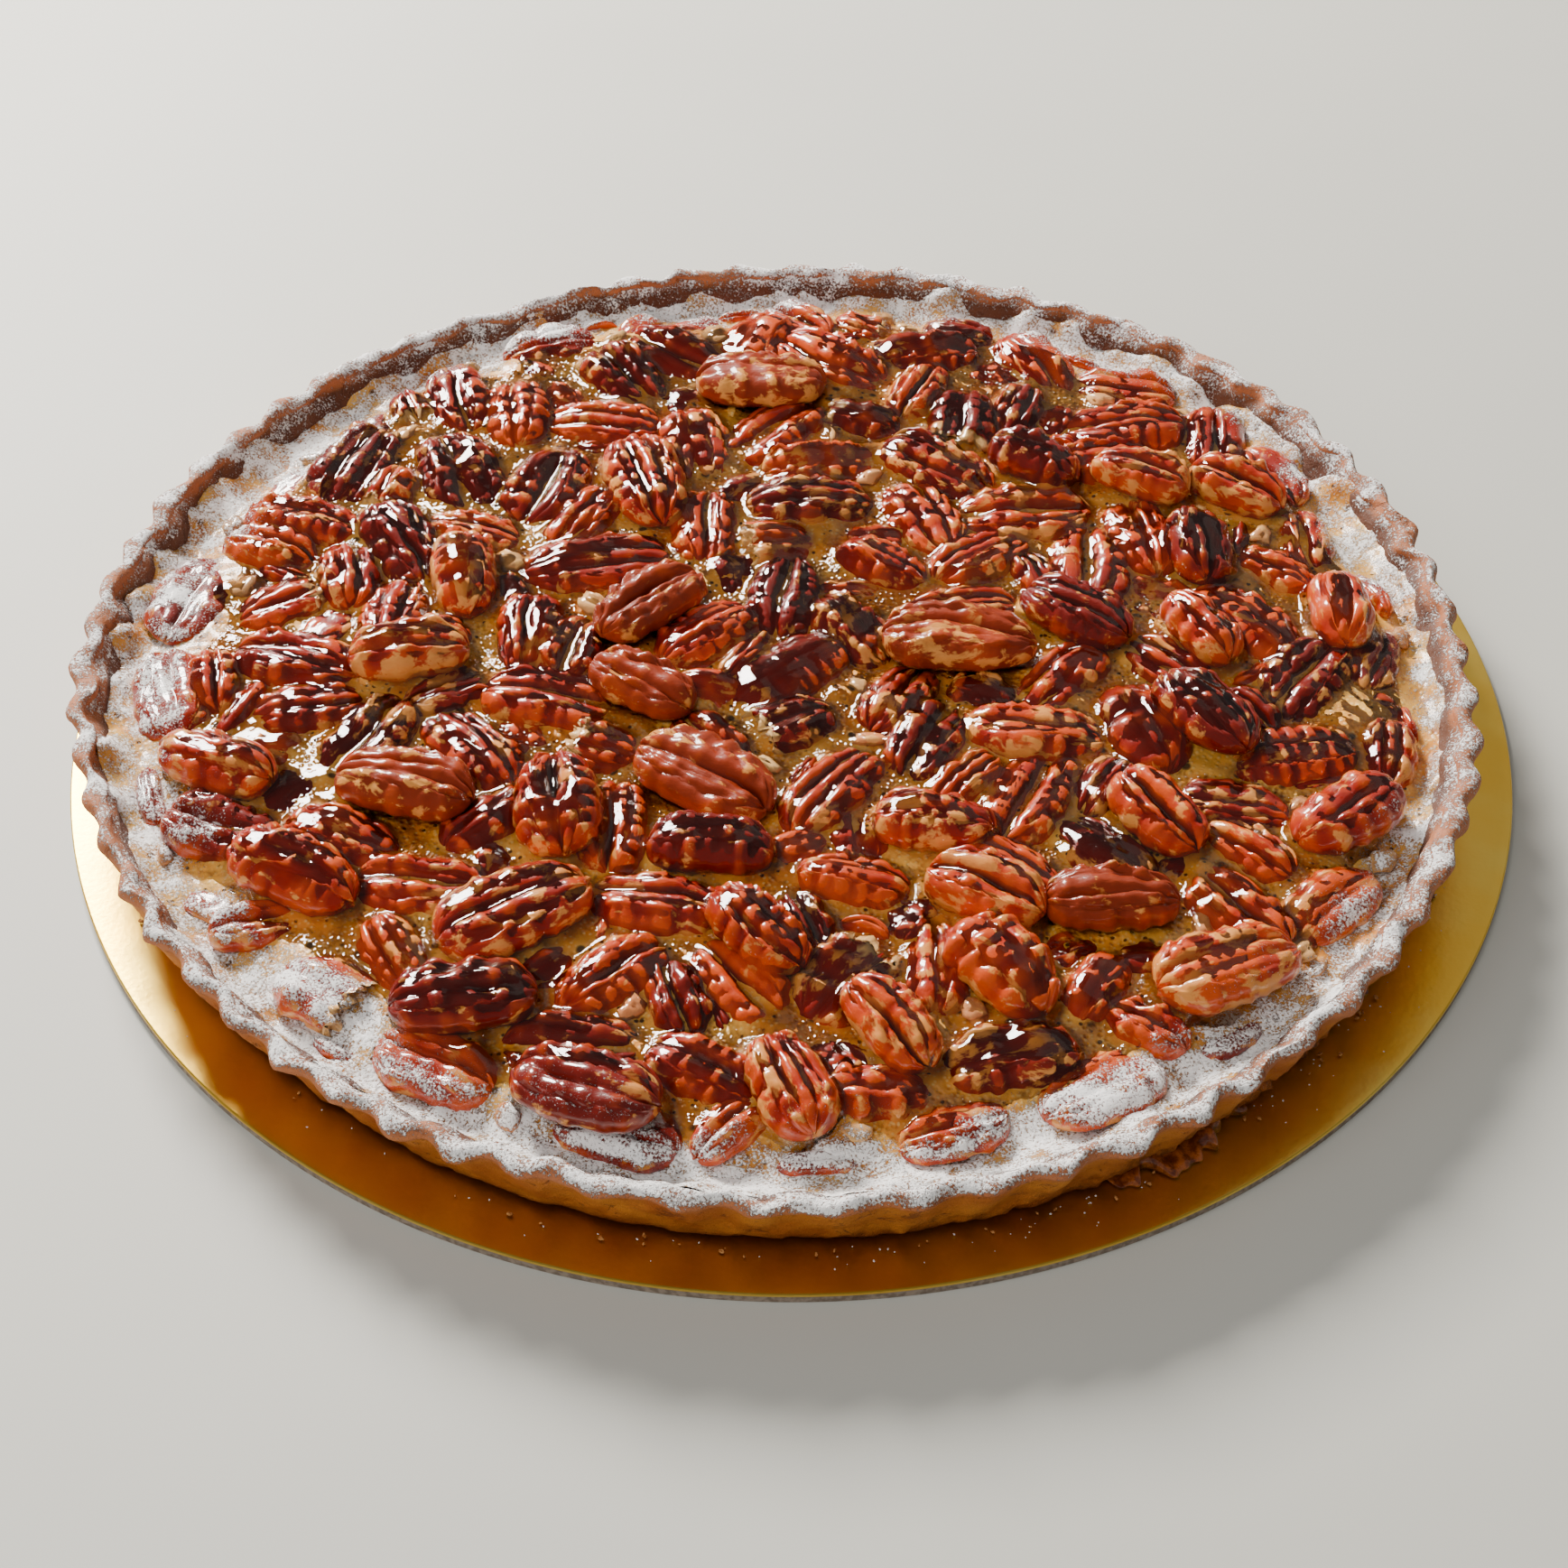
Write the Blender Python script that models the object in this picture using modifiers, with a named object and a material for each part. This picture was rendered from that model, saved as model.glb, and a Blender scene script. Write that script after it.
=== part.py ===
"""A pecan tart in its fluted pastry case, served on the round gold card that it comes on.

Metres, +Z up. The origin is the middle of the card's underside. Everything that belongs to the
tart is modelled about the tart's own axis and hangs on the empty "tart_axis", which stands a
little off the card's middle. Angles are measured from +X, anticlockwise from above.
"""

import math
import random

import bmesh
import bpy
import numpy as np
from mathutils import Euler, Matrix, Vector
from mathutils.bvhtree import BVHTree

MM = 0.001

# Card
CARD_RADIUS = 0.150
CARD_THICKNESS = 0.0024
CARD_EDGE_ROUND = 0.0007
CARD_SIDES = 64

# Touching pieces keep this much air
GAP = 0.0003

# Pastry case
TART_CENTRE = Vector((-0.0024, -0.0030))
RIM_RADIUS = 0.1428
RIM_HEIGHT = 0.0203
FOOT_RADIUS = 0.1342
RIM_THICKNESS = 0.0040
CASE_FLOOR = 0.0035
FLUTES = 66
FIRST_FLUTE = math.radians(1.2)
STEPS_PER_FLUTE = 4
FLUTE_DEPTH = 0.0013
SLUMP = 0.0014
SLUMP_ANGLE = math.radians(46)
RIM_UNEVEN = 0.0007

# Filling
FILLING_EDGE_HEIGHT = 0.0118
FILLING_DOME = 0.0016
FILLING_STEPS = 60

# Sheet of glazed filling that the pecans are baked into
BED_RADIUS = 0.1315
BED_THICKNESS = 0.0019
BED_UNDERSIDE = 0.00042
BED_STEPS = 48
MIDDLE_RING = 0.085

# Pecan halves: width as a share of length, heights above and below their widest line, the section
# as shares of half the width and of the height, and stations as shares of half the length and width
PECAN_WIDTH = 0.54
PECAN_HEIGHT = 0.0056
PECAN_BELLY = 0.0014
LOOSE_BELLY = 0.0030
WHOLE_LENGTH = 24
SECTION = ((-1.0, 0.0), (-0.62, 0.85), (0.0, 0.56), (0.62, 0.85), (1.0, 0.0), (0.0, -1.0))
SUNK_STATIONS = ((-0.78, 0.68), (-0.05, 1.0), (0.74, 0.62))
TOP_STATIONS = ((-0.84, 0.62), (-0.36, 1.0), (0.22, 1.0), (0.78, 0.58))
TIP_HEIGHT = 0.12

# How they lie
SEED = 11
WALL_CLEARANCE = 0.0008
BORDER_START = 0.112
BORDER_LOWERING = 0.35
SUNK_SHARE = 0.8
SUNK_ROLL = 0.16
SUNK_PITCH = 0.10
TILT_LIMIT = math.radians(13)
LEANING_REACH = 0.36
HIGH_ABOVE = 0.030
LETTING_STEP = 0.0001
RESTING_GAP = 0.0006

# Pecan halves that lie on top: x and y in mm about the tart's axis, heading in degrees, length in mm
TOP_PECANS = (
    (-4, 95, -3, 31), (-29, 58, -76, 32), (-27, 15, 45, 29), (-28, -9, -36, 26), (-15, -36, -35, 32),
    (37, 4, -5, 33), (-74, -39, -16, 30), (-43, -45, -83, 28), (-76, 0, 9, 26), (-67, 26, -82, 26),
    (79, 58, -22, 23), (100, 57, -36, 24), (90, 36, -88, 25), (117, 15, -90, 25), (87, 8, -60, 23),
    (62, 13, -36, 26), (86, -19, -60, 28), (111, -45, 36, 27), (74, -46, -56, 25), (63, -70, 0, 27),
    (83, -87, 21, 30), (39, -68, -29, 25), (-13, -56, -6, 26), (-50, -72, 30, 33), (-58, -94, 7, 29),
    (-34, -117, -23, 30), (-93, -62, -32, 30), (-112, -31, -24, 27), (2, -115, -70, 25), (20, -102, -53, 24),
    (41, -88, -55, 26), (30, -49, -10, 25), (-4, -78, -48, 25), (56, 65, -35, 23),
)

# Pecan halves baked in where they show as clearly, read the same way
SUNK_PECANS = (
    (-96, -12, 13, 25), (-39, 33, 11, 34), (106, 32, -43, 20), (91, -53, -43, 22), (14, -62, -12, 24),
    (-108, -47, -22, 28), (42, -107, 11, 27), (-29, -123, -19, 25), (31, -122, 18, 22), (-86, -88, -36, 29),
    (-62, -107, -30, 27), (122, 4, 76, 22), (122, -25, 80, 21), (64, -36, 57, 20), (-34, -25, -18, 24),
    (59, -89, 59, 20), (-19, -92, -75, 19), (103, -27, 11, 28), (20, 84, -23, 24),
)

# What fills the room between them, the largest first: shortest and longest in mm, and tries
SCATTER_SIZES = ((26, 31, 2500), (22, 26, 3000), (17, 22, 3000))
CLOSENESS_SUNK = 0.70
CLOSENESS_TOP = 0.62
SPINE_POINTS = 7


def material(name, colour, roughness, metallic=0.0):
    """A plain Principled finish."""
    made = bpy.data.materials.new(name)
    made.use_nodes = True
    shader = made.node_tree.nodes["Principled BSDF"]
    shader.inputs["Base Color"].default_value = (*colour, 1.0)
    shader.inputs["Roughness"].default_value = roughness
    shader.inputs["Metallic"].default_value = metallic
    made.diffuse_color = (*colour, 1.0)
    return made


def smoothstep(low, high, value):
    """Rises smoothly from 0 at low to 1 at high."""
    t = min(max((value - low) / (high - low), 0.0), 1.0)
    return t * t * (3 - 2 * t)


def own_mesh(obj):
    """Gives the object its evaluated mesh, with the modifiers used up."""
    evaluated = obj.evaluated_get(bpy.context.evaluated_depsgraph_get())
    mesh = bpy.data.meshes.new_from_object(evaluated)
    obj.modifiers.clear()
    obj.data = mesh
    mesh.name = obj.name


def turned(name, profile, steps, collection):
    """A solid turned about Z from (radius, height) points that run down its outer side."""
    mesh = bpy.data.meshes.new(name)
    points = [(radius, 0.0, height) for radius, height in profile]
    mesh.from_pydata(points, [(i, i + 1) for i in range(len(points) - 1)], [])
    obj = bpy.data.objects.new(name, mesh)
    collection.objects.link(obj)
    screw = obj.modifiers.new("turn", "SCREW")
    screw.axis = "Z"
    screw.steps = steps
    screw.render_steps = steps
    screw.use_merge_vertices = True
    screw.merge_threshold = 0.00001
    own_mesh(obj)
    return obj


def shade(obj, finish, sharp_degrees):
    """Gives the object its finish, smooth except at edges sharper than the angle."""
    obj.data.materials.clear()
    obj.data.materials.append(finish)
    obj.data.shade_smooth()
    obj.data.set_sharp_from_angle(angle=math.radians(sharp_degrees))


def slump(angle):
    """How far the case has spread outwards at this angle: a little, on three sides."""
    return SLUMP * math.cos(3 * (angle - SLUMP_ANGLE))


def waves(angle, seed, counts=(2, 3, 5, 9, 14)):
    """A smooth uneven line round the tart, between about -1 and 1."""
    draw = random.Random(seed)
    total = sum(math.sin(n * angle + draw.uniform(0, math.tau)) / math.sqrt(n) for n in counts)
    return total / (0.55 * sum(1 / math.sqrt(n) for n in counts))


def case_inner_radius(height):
    """Radius of the case's inner wall, which leans outwards as the outer one does."""
    floor_radius = FOOT_RADIUS - 0.0030
    lean = (RIM_RADIUS - RIM_THICKNESS - floor_radius) / (RIM_HEIGHT - CASE_FLOOR)
    return floor_radius + lean * (height - CASE_FLOOR)


def filling_edge_radius():
    """The filling stops short of the wall by a gap, and by the hollows between its few sides."""
    return case_inner_radius(FILLING_EDGE_HEIGHT) / math.cos(math.pi / FLUTES) - 2.5 * GAP


def case_outer_radius(height):
    """Radius of the case's outer wall, half way between the flutes' tips and hollows."""
    return FOOT_RADIUS + (RIM_RADIUS - FOOT_RADIUS) * height / RIM_HEIGHT


def flute_point(co):
    """Moves a point of the plain case to its place in the fluted, slumped and uneven one."""
    radius = math.hypot(co.x, co.y)
    if radius < 0.5 * FOOT_RADIUS:
        return co
    angle = math.atan2(co.y, co.x)
    inner, outer = case_inner_radius(co.z), case_outer_radius(co.z)
    outwards = smoothstep(0.0, 1.0, (radius - inner) / (outer - inner))
    upwards = smoothstep(0.0, 1.0, co.z / RIM_HEIGHT)
    above_filling = smoothstep(FILLING_EDGE_HEIGHT, RIM_HEIGHT, co.z)
    moved = radius + outwards * FLUTE_DEPTH * (0.45 + 0.55 * upwards) * math.cos(FLUTES * angle)
    moved += outwards * above_filling * RIM_UNEVEN * waves(angle, SEED + 1, (4, 7, 13, 24))
    moved *= 1 + slump(angle + FIRST_FLUTE) / RIM_RADIUS
    height = co.z + RIM_UNEVEN * above_filling * waves(angle, SEED + 2)
    return Vector((moved * math.cos(angle), moved * math.sin(angle), height))


def make_card(collection):
    """The stiff round card, with its foil turned over a rounded edge."""
    mesh = bpy.data.meshes.new("gold_card")
    shape = bmesh.new()
    bmesh.ops.create_cone(shape, cap_ends=True, segments=CARD_SIDES, radius1=CARD_RADIUS,
                          radius2=CARD_RADIUS, depth=CARD_THICKNESS)
    bmesh.ops.translate(shape, vec=(0, 0, CARD_THICKNESS / 2), verts=shape.verts)
    shape.to_mesh(mesh)
    shape.free()
    card = bpy.data.objects.new("gold_card", mesh)
    collection.objects.link(card)
    bevel = card.modifiers.new("edge", "BEVEL")
    bevel.width = CARD_EDGE_ROUND
    bevel.segments = 2
    bevel.limit_method = "ANGLE"
    bevel.angle_limit = math.radians(40)
    own_mesh(card)
    shade(card, material("gold_foil", (0.80, 0.50, 0.13), 0.28, 1.0), 30)
    return card


def make_crust(collection):
    """The pastry case: a flat floor and a thin fluted wall that leans outwards."""
    rim_middle = RIM_RADIUS - 0.55 * RIM_THICKNESS
    profile = [
        (0.0, CASE_FLOOR),
        (case_inner_radius(CASE_FLOOR), CASE_FLOOR),
        (case_inner_radius(0.93 * RIM_HEIGHT), 0.93 * RIM_HEIGHT),
        (rim_middle, RIM_HEIGHT),
        (case_outer_radius(0.94 * RIM_HEIGHT), 0.94 * RIM_HEIGHT),
        (FOOT_RADIUS, 0.0),
        (0.0, 0.0),
    ]
    crust = turned("crust", profile, FLUTES * STEPS_PER_FLUTE, collection)
    for vertex in crust.data.vertices:
        vertex.co = flute_point(vertex.co)
    crust.rotation_euler.z = FIRST_FLUTE
    shade(crust, material("pastry", (0.62, 0.30, 0.10), 0.8), 50)
    return crust


def filling_top(radius):
    """Height of the filling, which has set a little higher in the middle."""
    return FILLING_EDGE_HEIGHT + FILLING_DOME * (1 - (radius / case_inner_radius(FILLING_EDGE_HEIGHT)) ** 2)


def spread(obj):
    """Lets a turned solid follow the slumped outline of the case."""
    for vertex in obj.data.vertices:
        angle = math.atan2(vertex.co.y, vertex.co.x)
        vertex.co.xy *= 1 + slump(angle) / RIM_RADIUS


def make_filling(collection):
    """The set filling, down to the floor of the case."""
    floor = CASE_FLOOR + GAP
    foot = case_inner_radius(floor) - 1.7 * GAP
    rings = (0.0, MIDDLE_RING, filling_edge_radius())
    profile = [(radius, filling_top(radius)) for radius in rings] + [(foot, floor), (0.0, floor)]
    filling = turned("filling", profile, FILLING_STEPS, collection)
    spread(filling)
    shade(filling, material("caramel_filling", (0.55, 0.27, 0.05), 0.35), 40)
    return filling


def pecan_mesh(name, length, height, belly, stations):
    """A pecan half lying along X: two lobes beside a groove, on a flatter underside."""
    shape = bmesh.new()
    width = PECAN_WIDTH * length
    rings = []
    for along, swell in stations:
        ring = [(along * length / 2, across * swell * width / 2, up * swell * (height if up > 0 else belly))
                for across, up in SECTION]
        rings.append([shape.verts.new(co) for co in ring])
    sides = len(SECTION)
    for ring, following in zip(rings, rings[1:]):
        for i in range(sides):
            j = (i + 1) % sides
            shape.faces.new((ring[i], ring[j], following[j], following[i]))
    for ring, end in ((rings[0], -1), (rings[-1], 1)):
        tip = shape.verts.new((end * length / 2, 0.0, TIP_HEIGHT * height))
        for i in range(sides):
            shape.faces.new((ring[i], ring[(i + 1) % sides], tip))
    bmesh.ops.recalc_face_normals(shape, faces=shape.faces)
    mesh = bpy.data.meshes.new(name)
    shape.to_mesh(mesh)
    shape.free()
    return mesh


def spine(x, y, heading, length):
    """Points along the middle of a pecan, at which its half width is measured. All in mm."""
    half = (length - PECAN_WIDTH * length) / 2
    reach = np.linspace(-half, half, SPINE_POINTS)
    turn = math.radians(heading)
    return np.stack([x + reach * math.cos(turn), y + reach * math.sin(turn)], 1)


def room_for(candidate, others, closeness):
    """Whether a pecan keeps its distance from others, as a share of what just touching needs."""
    x, y, _, length = candidate
    near = [other for other in others
            if math.hypot(x - other[0], y - other[1]) < (length + other[3]) / 2]
    if not near:
        return True
    own = spine(*candidate)
    spines = np.concatenate([spine(*other) for other in near])
    needed = np.repeat([PECAN_WIDTH * (length + other[3]) / 2 for other in near], SPINE_POINTS)
    apart = np.hypot(*(own[:, None, :] - spines[None, :, :]).transpose(2, 0, 1))
    return bool((apart >= closeness * needed[None, :]).all())


def baked_in_pecans():
    """The pecans baked into the filling: those placed by eye, then a seeded scatter between them."""
    draw = random.Random(SEED)
    sunk = list(SUNK_PECANS)
    for shortest, longest, tries in SCATTER_SIZES:
        for _ in range(tries):
            length = draw.uniform(shortest, longest)
            angle = draw.uniform(0, math.tau)
            wall = case_inner_radius(FILLING_EDGE_HEIGHT) + slump(angle)
            room = (wall - WALL_CLEARANCE) / MM - PECAN_WIDTH * length / 2
            radius = room * math.sqrt(draw.random())
            heading = draw.uniform(0, 180)
            candidate = (radius * math.cos(angle), radius * math.sin(angle), heading, length)
            ends = spine(*candidate)[[0, -1]]
            if np.hypot(*ends.T).max() > room:
                continue
            if room_for(candidate, sunk, CLOSENESS_SUNK) and room_for(candidate, TOP_PECANS, CLOSENESS_TOP):
                sunk.append(candidate)
    return sunk


def baked_in_mesh(name, x, y, heading, length, draw):
    """One pecan baked in up to its sides, smaller and lower towards the wall."""
    radius = math.hypot(x, y) * MM
    border = 1 - BORDER_LOWERING * smoothstep(BORDER_START, BED_RADIUS, radius)
    height = PECAN_HEIGHT * border * draw.uniform(0.85, 1.1) * min(0.6 + 0.4 * length / WHOLE_LENGTH, 1)
    mesh = pecan_mesh(name, length * MM, height, PECAN_BELLY, SUNK_STATIONS)
    roll, pitch = draw.uniform(-SUNK_ROLL, SUNK_ROLL), draw.uniform(-SUNK_PITCH, SUNK_PITCH)
    level = filling_top(radius) + BED_UNDERSIDE + SUNK_SHARE * BED_THICKNESS
    turn = Euler((roll, pitch, math.radians(heading))).to_matrix().to_4x4()
    mesh.transform(Matrix.Translation((x * MM, y * MM, level)) @ turn)
    above = min(v.co.z - filling_top(math.hypot(v.co.x, v.co.y)) for v in mesh.vertices)
    mesh.transform(Matrix.Translation((0, 0, max(0.0, BED_UNDERSIDE + GAP / 2 - above))))
    return mesh


def make_bed(collection):
    """The pecans baked in side by side, joined by the sheet of glazed filling that holds them."""
    rings = (0.0, MIDDLE_RING, BED_RADIUS)
    top = [(radius, filling_top(radius) + BED_UNDERSIDE + BED_THICKNESS) for radius in rings]
    underside = [(radius, filling_top(radius) + BED_UNDERSIDE) for radius in reversed(rings)]
    bed = turned("pecan_bed", top + underside, BED_STEPS, collection)
    spread(bed)
    pieces = bpy.data.collections.new("baked_in")
    bpy.context.scene.collection.children.link(pieces)
    draw = random.Random(SEED + 5)
    for index, place in enumerate(baked_in_pecans()):
        mesh = baked_in_mesh(f"baked_in_{index}", *place, draw)
        pieces.objects.link(bpy.data.objects.new(mesh.name, mesh))
    union = bed.modifiers.new("join", "BOOLEAN")
    union.operation = "UNION"
    union.operand_type = "COLLECTION"
    union.collection = pieces
    union.solver = "MANIFOLD"
    own_mesh(bed)
    for piece in list(pieces.objects):
        bpy.data.objects.remove(piece)
    bpy.data.collections.remove(pieces)
    shade(bed, material("glazed_pecan", (0.30, 0.07, 0.02), 0.15), 35)
    return bed


def surface_height(tree, x, y):
    """Height of the bed below a point, or None beside it."""
    hit = tree.ray_cast(Vector((x, y, HIGH_ABOVE)), Vector((0, 0, -1)))[0]
    return hit.z if hit else None


def leaning(tree, x, y, heading, length):
    """Roll and pitch of a pecan that lies on what is under its sides and ends."""
    turn = math.radians(heading)
    reach = length * MM * LEANING_REACH
    forward = Vector((math.cos(turn), math.sin(turn))) * reach
    sideways = Vector((-math.sin(turn), math.cos(turn))) * reach * PECAN_WIDTH
    centre = Vector((x * MM, y * MM))

    def under(offset):
        """Mean height of the bed about a point, so that no single peak decides."""
        nearby = [offset] + [offset + d / 2 for d in (forward, -forward, sideways, -sideways)]
        found = [surface_height(tree, *(centre + point)) for point in nearby]
        found = [height for height in found if height is not None]
        return sum(found) / len(found)

    roll = math.atan2(under(sideways) - under(-sideways), 2 * sideways.length)
    pitch = math.atan2(under(-forward) - under(forward), 2 * forward.length)
    return [min(max(tilt, -TILT_LIMIT), TILT_LIMIT) for tilt in (roll, pitch)]


def let_down(mesh, x, y, turn, tree):
    """Height at which a turned pecan, let down from above, lies just clear of the bed."""
    points = [turn @ vertex.co + Vector((x * MM, y * MM, 0)) for vertex in mesh.vertices]
    faces = [face.vertices for face in mesh.polygons]
    height = HIGH_ABOVE
    while True:
        lowered = [point + Vector((0, 0, height - LETTING_STEP - RESTING_GAP)) for point in points]
        if BVHTree.FromPolygons(lowered, faces).overlap(tree):
            return height
        height -= LETTING_STEP


def make_top_pecans(bed, collection):
    """Each pecan half that lies on top, resting on those baked in below it."""
    finish = material("pecan_half", (0.36, 0.09, 0.025), 0.18)
    tree = BVHTree.FromPolygons([v.co for v in bed.data.vertices], [p.vertices for p in bed.data.polygons])
    made = []
    for number, (x, y, heading, length) in enumerate(TOP_PECANS, start=1):
        mesh = pecan_mesh(f"pecan_{number:02d}", length * MM, PECAN_HEIGHT, LOOSE_BELLY, TOP_STATIONS)
        turn = Euler((*leaning(tree, x, y, heading, length), math.radians(heading)))
        pecan = bpy.data.objects.new(mesh.name, mesh)
        pecan.rotation_euler = turn
        pecan.location = (x * MM, y * MM, let_down(mesh, x, y, turn.to_matrix(), tree))
        collection.objects.link(pecan)
        shade(pecan, finish, 40)
        made.append(pecan)
    return made


def main():
    for obj in list(bpy.data.objects):
        bpy.data.objects.remove(obj)
    collection = bpy.data.collections.new("pecan_tart")
    bpy.context.scene.collection.children.link(collection)
    make_card(collection)
    axis = bpy.data.objects.new("tart_axis", None)
    axis.location = (*TART_CENTRE, CARD_THICKNESS + GAP)
    collection.objects.link(axis)
    bed = make_bed(collection)
    tart = [make_crust(collection), make_filling(collection), bed]
    tart += make_top_pecans(bed, collection)
    for obj in tart:
        obj.parent = axis


main()
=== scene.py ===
"""Looks of the pecan tart on its gold card: pastry, filling, pecans, glaze, icing sugar and crumbs.

Metres. Shapes are made about the tart's own axis, with the pastry's underside at height 0, and are
moved to their place in the frame when they are built. Each pecan in a list is x, y, heading and
length, in mm and degrees.
"""

import math
import random

import bpy
import numpy as np
from mathutils import Euler, Matrix, Vector
from mathutils.bvhtree import BVHTree


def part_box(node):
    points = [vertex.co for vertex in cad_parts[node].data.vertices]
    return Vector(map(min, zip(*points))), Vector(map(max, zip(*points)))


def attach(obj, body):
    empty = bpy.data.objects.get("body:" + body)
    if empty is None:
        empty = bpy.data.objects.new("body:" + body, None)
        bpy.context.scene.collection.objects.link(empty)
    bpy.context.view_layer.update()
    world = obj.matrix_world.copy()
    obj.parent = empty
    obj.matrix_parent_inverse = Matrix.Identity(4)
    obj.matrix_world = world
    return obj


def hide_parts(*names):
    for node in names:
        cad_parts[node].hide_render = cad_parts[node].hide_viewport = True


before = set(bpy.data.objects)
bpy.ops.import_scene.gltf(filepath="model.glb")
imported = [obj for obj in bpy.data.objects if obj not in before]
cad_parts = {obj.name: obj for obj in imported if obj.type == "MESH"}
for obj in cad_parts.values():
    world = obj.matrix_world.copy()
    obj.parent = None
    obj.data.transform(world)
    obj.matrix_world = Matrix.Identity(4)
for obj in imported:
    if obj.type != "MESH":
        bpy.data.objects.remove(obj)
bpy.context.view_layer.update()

MM = 0.001

# Camera and stage
CAMERA_PLACE = (-0.0015, -0.4746, 0.4367)
CAMERA_TILT = math.radians(46.29)
CAMERA_LENS = 70
FLOOR_SIZE = 6.0
SKY_TINT = (0.86, 0.85, 0.82, 1)
SKY_STRENGTH = 0.19

# Lights: name, place, size, power and tint
LIGHTS = (
    ("key", (-0.60, 1.16, 0.84), (0.46, 0.50), 79, (1.0, 0.95, 0.88)),
    ("fill", (-0.7, -0.8, 1.1), (1.4, 1.4), 17, (1.0, 0.98, 0.95)),
    ("side", (0.75, 1.0, 1.2), (1.2, 1.2), 1.4, (1.0, 0.92, 0.80)),
)

# The tart in the frame, and the sizes that it shares with the solids
TART_CENTRE = (-0.0024, -0.0030)
TART_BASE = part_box("crust")[0][2]
CARD_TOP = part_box("gold_card")[1][2]
CARD_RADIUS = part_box("gold_card")[1][0]
RIM_RADIUS = 0.1428
RIM_HEIGHT = 0.0203
FOOT_RADIUS = 0.1342
RIM_THICKNESS = 0.0040
CASE_FLOOR = 0.0035
BURIED_HEIGHT = 0.0075
FLUTES = 66
FIRST_FLUTE = math.radians(1.2)
FLUTE_DEPTH = 0.0013
SLUMP = 0.0014
SLUMP_ANGLE = math.radians(46)
RIM_UNEVEN = 0.0007
FILLING_EDGE_HEIGHT = 0.0118
FILLING_DOME = 0.0016
BED_RADIUS = 0.1315
BED_THICKNESS = 0.0019
BED_UNDERSIDE = 0.00042

# Pecans, as the solids lay them
PECAN_WIDTH = 0.54
PECAN_HEIGHT = 0.0056
LOOSE_BELLY = 0.0030
SUNK_BELLY = 0.0018
FILLER_BELLY = 0.0015
TIP_HEIGHT = 0.12
WHOLE_LENGTH = 24
SEED = 11
WALL_CLEARANCE = 0.0008
BORDER_START = 0.112
BORDER_LOWERING = 0.35
SUNK_SHARE = 0.8
SUNK_ROLL = 0.16
SUNK_PITCH = 0.10
TOP_PECANS = (
    (-4, 95, -3, 31), (-29, 58, -76, 32), (-27, 15, 45, 29), (-28, -9, -36, 26), (-15, -36, -35, 32),
    (37, 4, -5, 33), (-74, -39, -16, 30), (-43, -45, -83, 28), (-76, 0, 9, 26), (-67, 26, -82, 26),
    (79, 58, -22, 23), (100, 57, -36, 24), (90, 36, -88, 25), (117, 15, -90, 25), (87, 8, -60, 23),
    (62, 13, -36, 26), (86, -19, -60, 28), (111, -45, 36, 27), (74, -46, -56, 25), (63, -70, 0, 27),
    (83, -87, 21, 30), (39, -68, -29, 25), (-13, -56, -6, 26), (-50, -72, 30, 33), (-58, -94, 7, 29),
    (-34, -117, -23, 30), (-93, -62, -32, 30), (-112, -31, -24, 27), (2, -115, -70, 25), (20, -102, -53, 24),
    (41, -88, -55, 26), (30, -49, -10, 25), (-4, -78, -48, 25), (56, 65, -35, 23),
)
SUNK_PECANS = (
    (-96, -12, 13, 25), (-39, 33, 11, 34), (106, 32, -43, 20), (91, -53, -43, 22), (14, -62, -12, 24),
    (-108, -47, -22, 28), (42, -107, 11, 27), (-29, -123, -19, 25), (31, -122, 18, 22), (-86, -88, -36, 29),
    (-62, -107, -30, 27), (122, 4, 76, 22), (122, -25, 80, 21), (64, -36, 57, 20), (-34, -25, -18, 24),
    (59, -89, 59, 20), (-19, -92, -75, 19), (103, -27, 11, 28), (20, 84, -23, 24),
)
SCATTER_SIZES = ((26, 31, 2500), (22, 26, 3000), (17, 22, 3000))
CLOSENESS_SUNK = 0.70
CLOSENESS_TOP = 0.62
SPINE_POINTS = 7

# How the loose pecans look, by number
PROUD = (1, 3, 4, 5, 6, 7, 20)
DARK = (3, 13, 16, 17, 20, 23, 25, 26, 34)
TANNED = (1, 2, 6, 9, 10, 11, 12, 21, 22, 24, 28, 29, 30, 32)
FACE_UP = (8, 11, 12, 19, 22)
SLABS = (31,)
DUSTED = (18, 28)
DARK_TONE = 0.05
PROUD_TONE = 0.22

# Width of a pecan as a share of its length, and how square it is across
WIDTHS = {"face": (0.56, 0.64), "finger": (0.27, 0.33), "slab": (0.62, 0.72), "back": (0.52, 0.59)}
SQUARENESS = {"face": 3.2, "finger": 2.3, "slab": 5.0, "back": 2.6}

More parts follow.
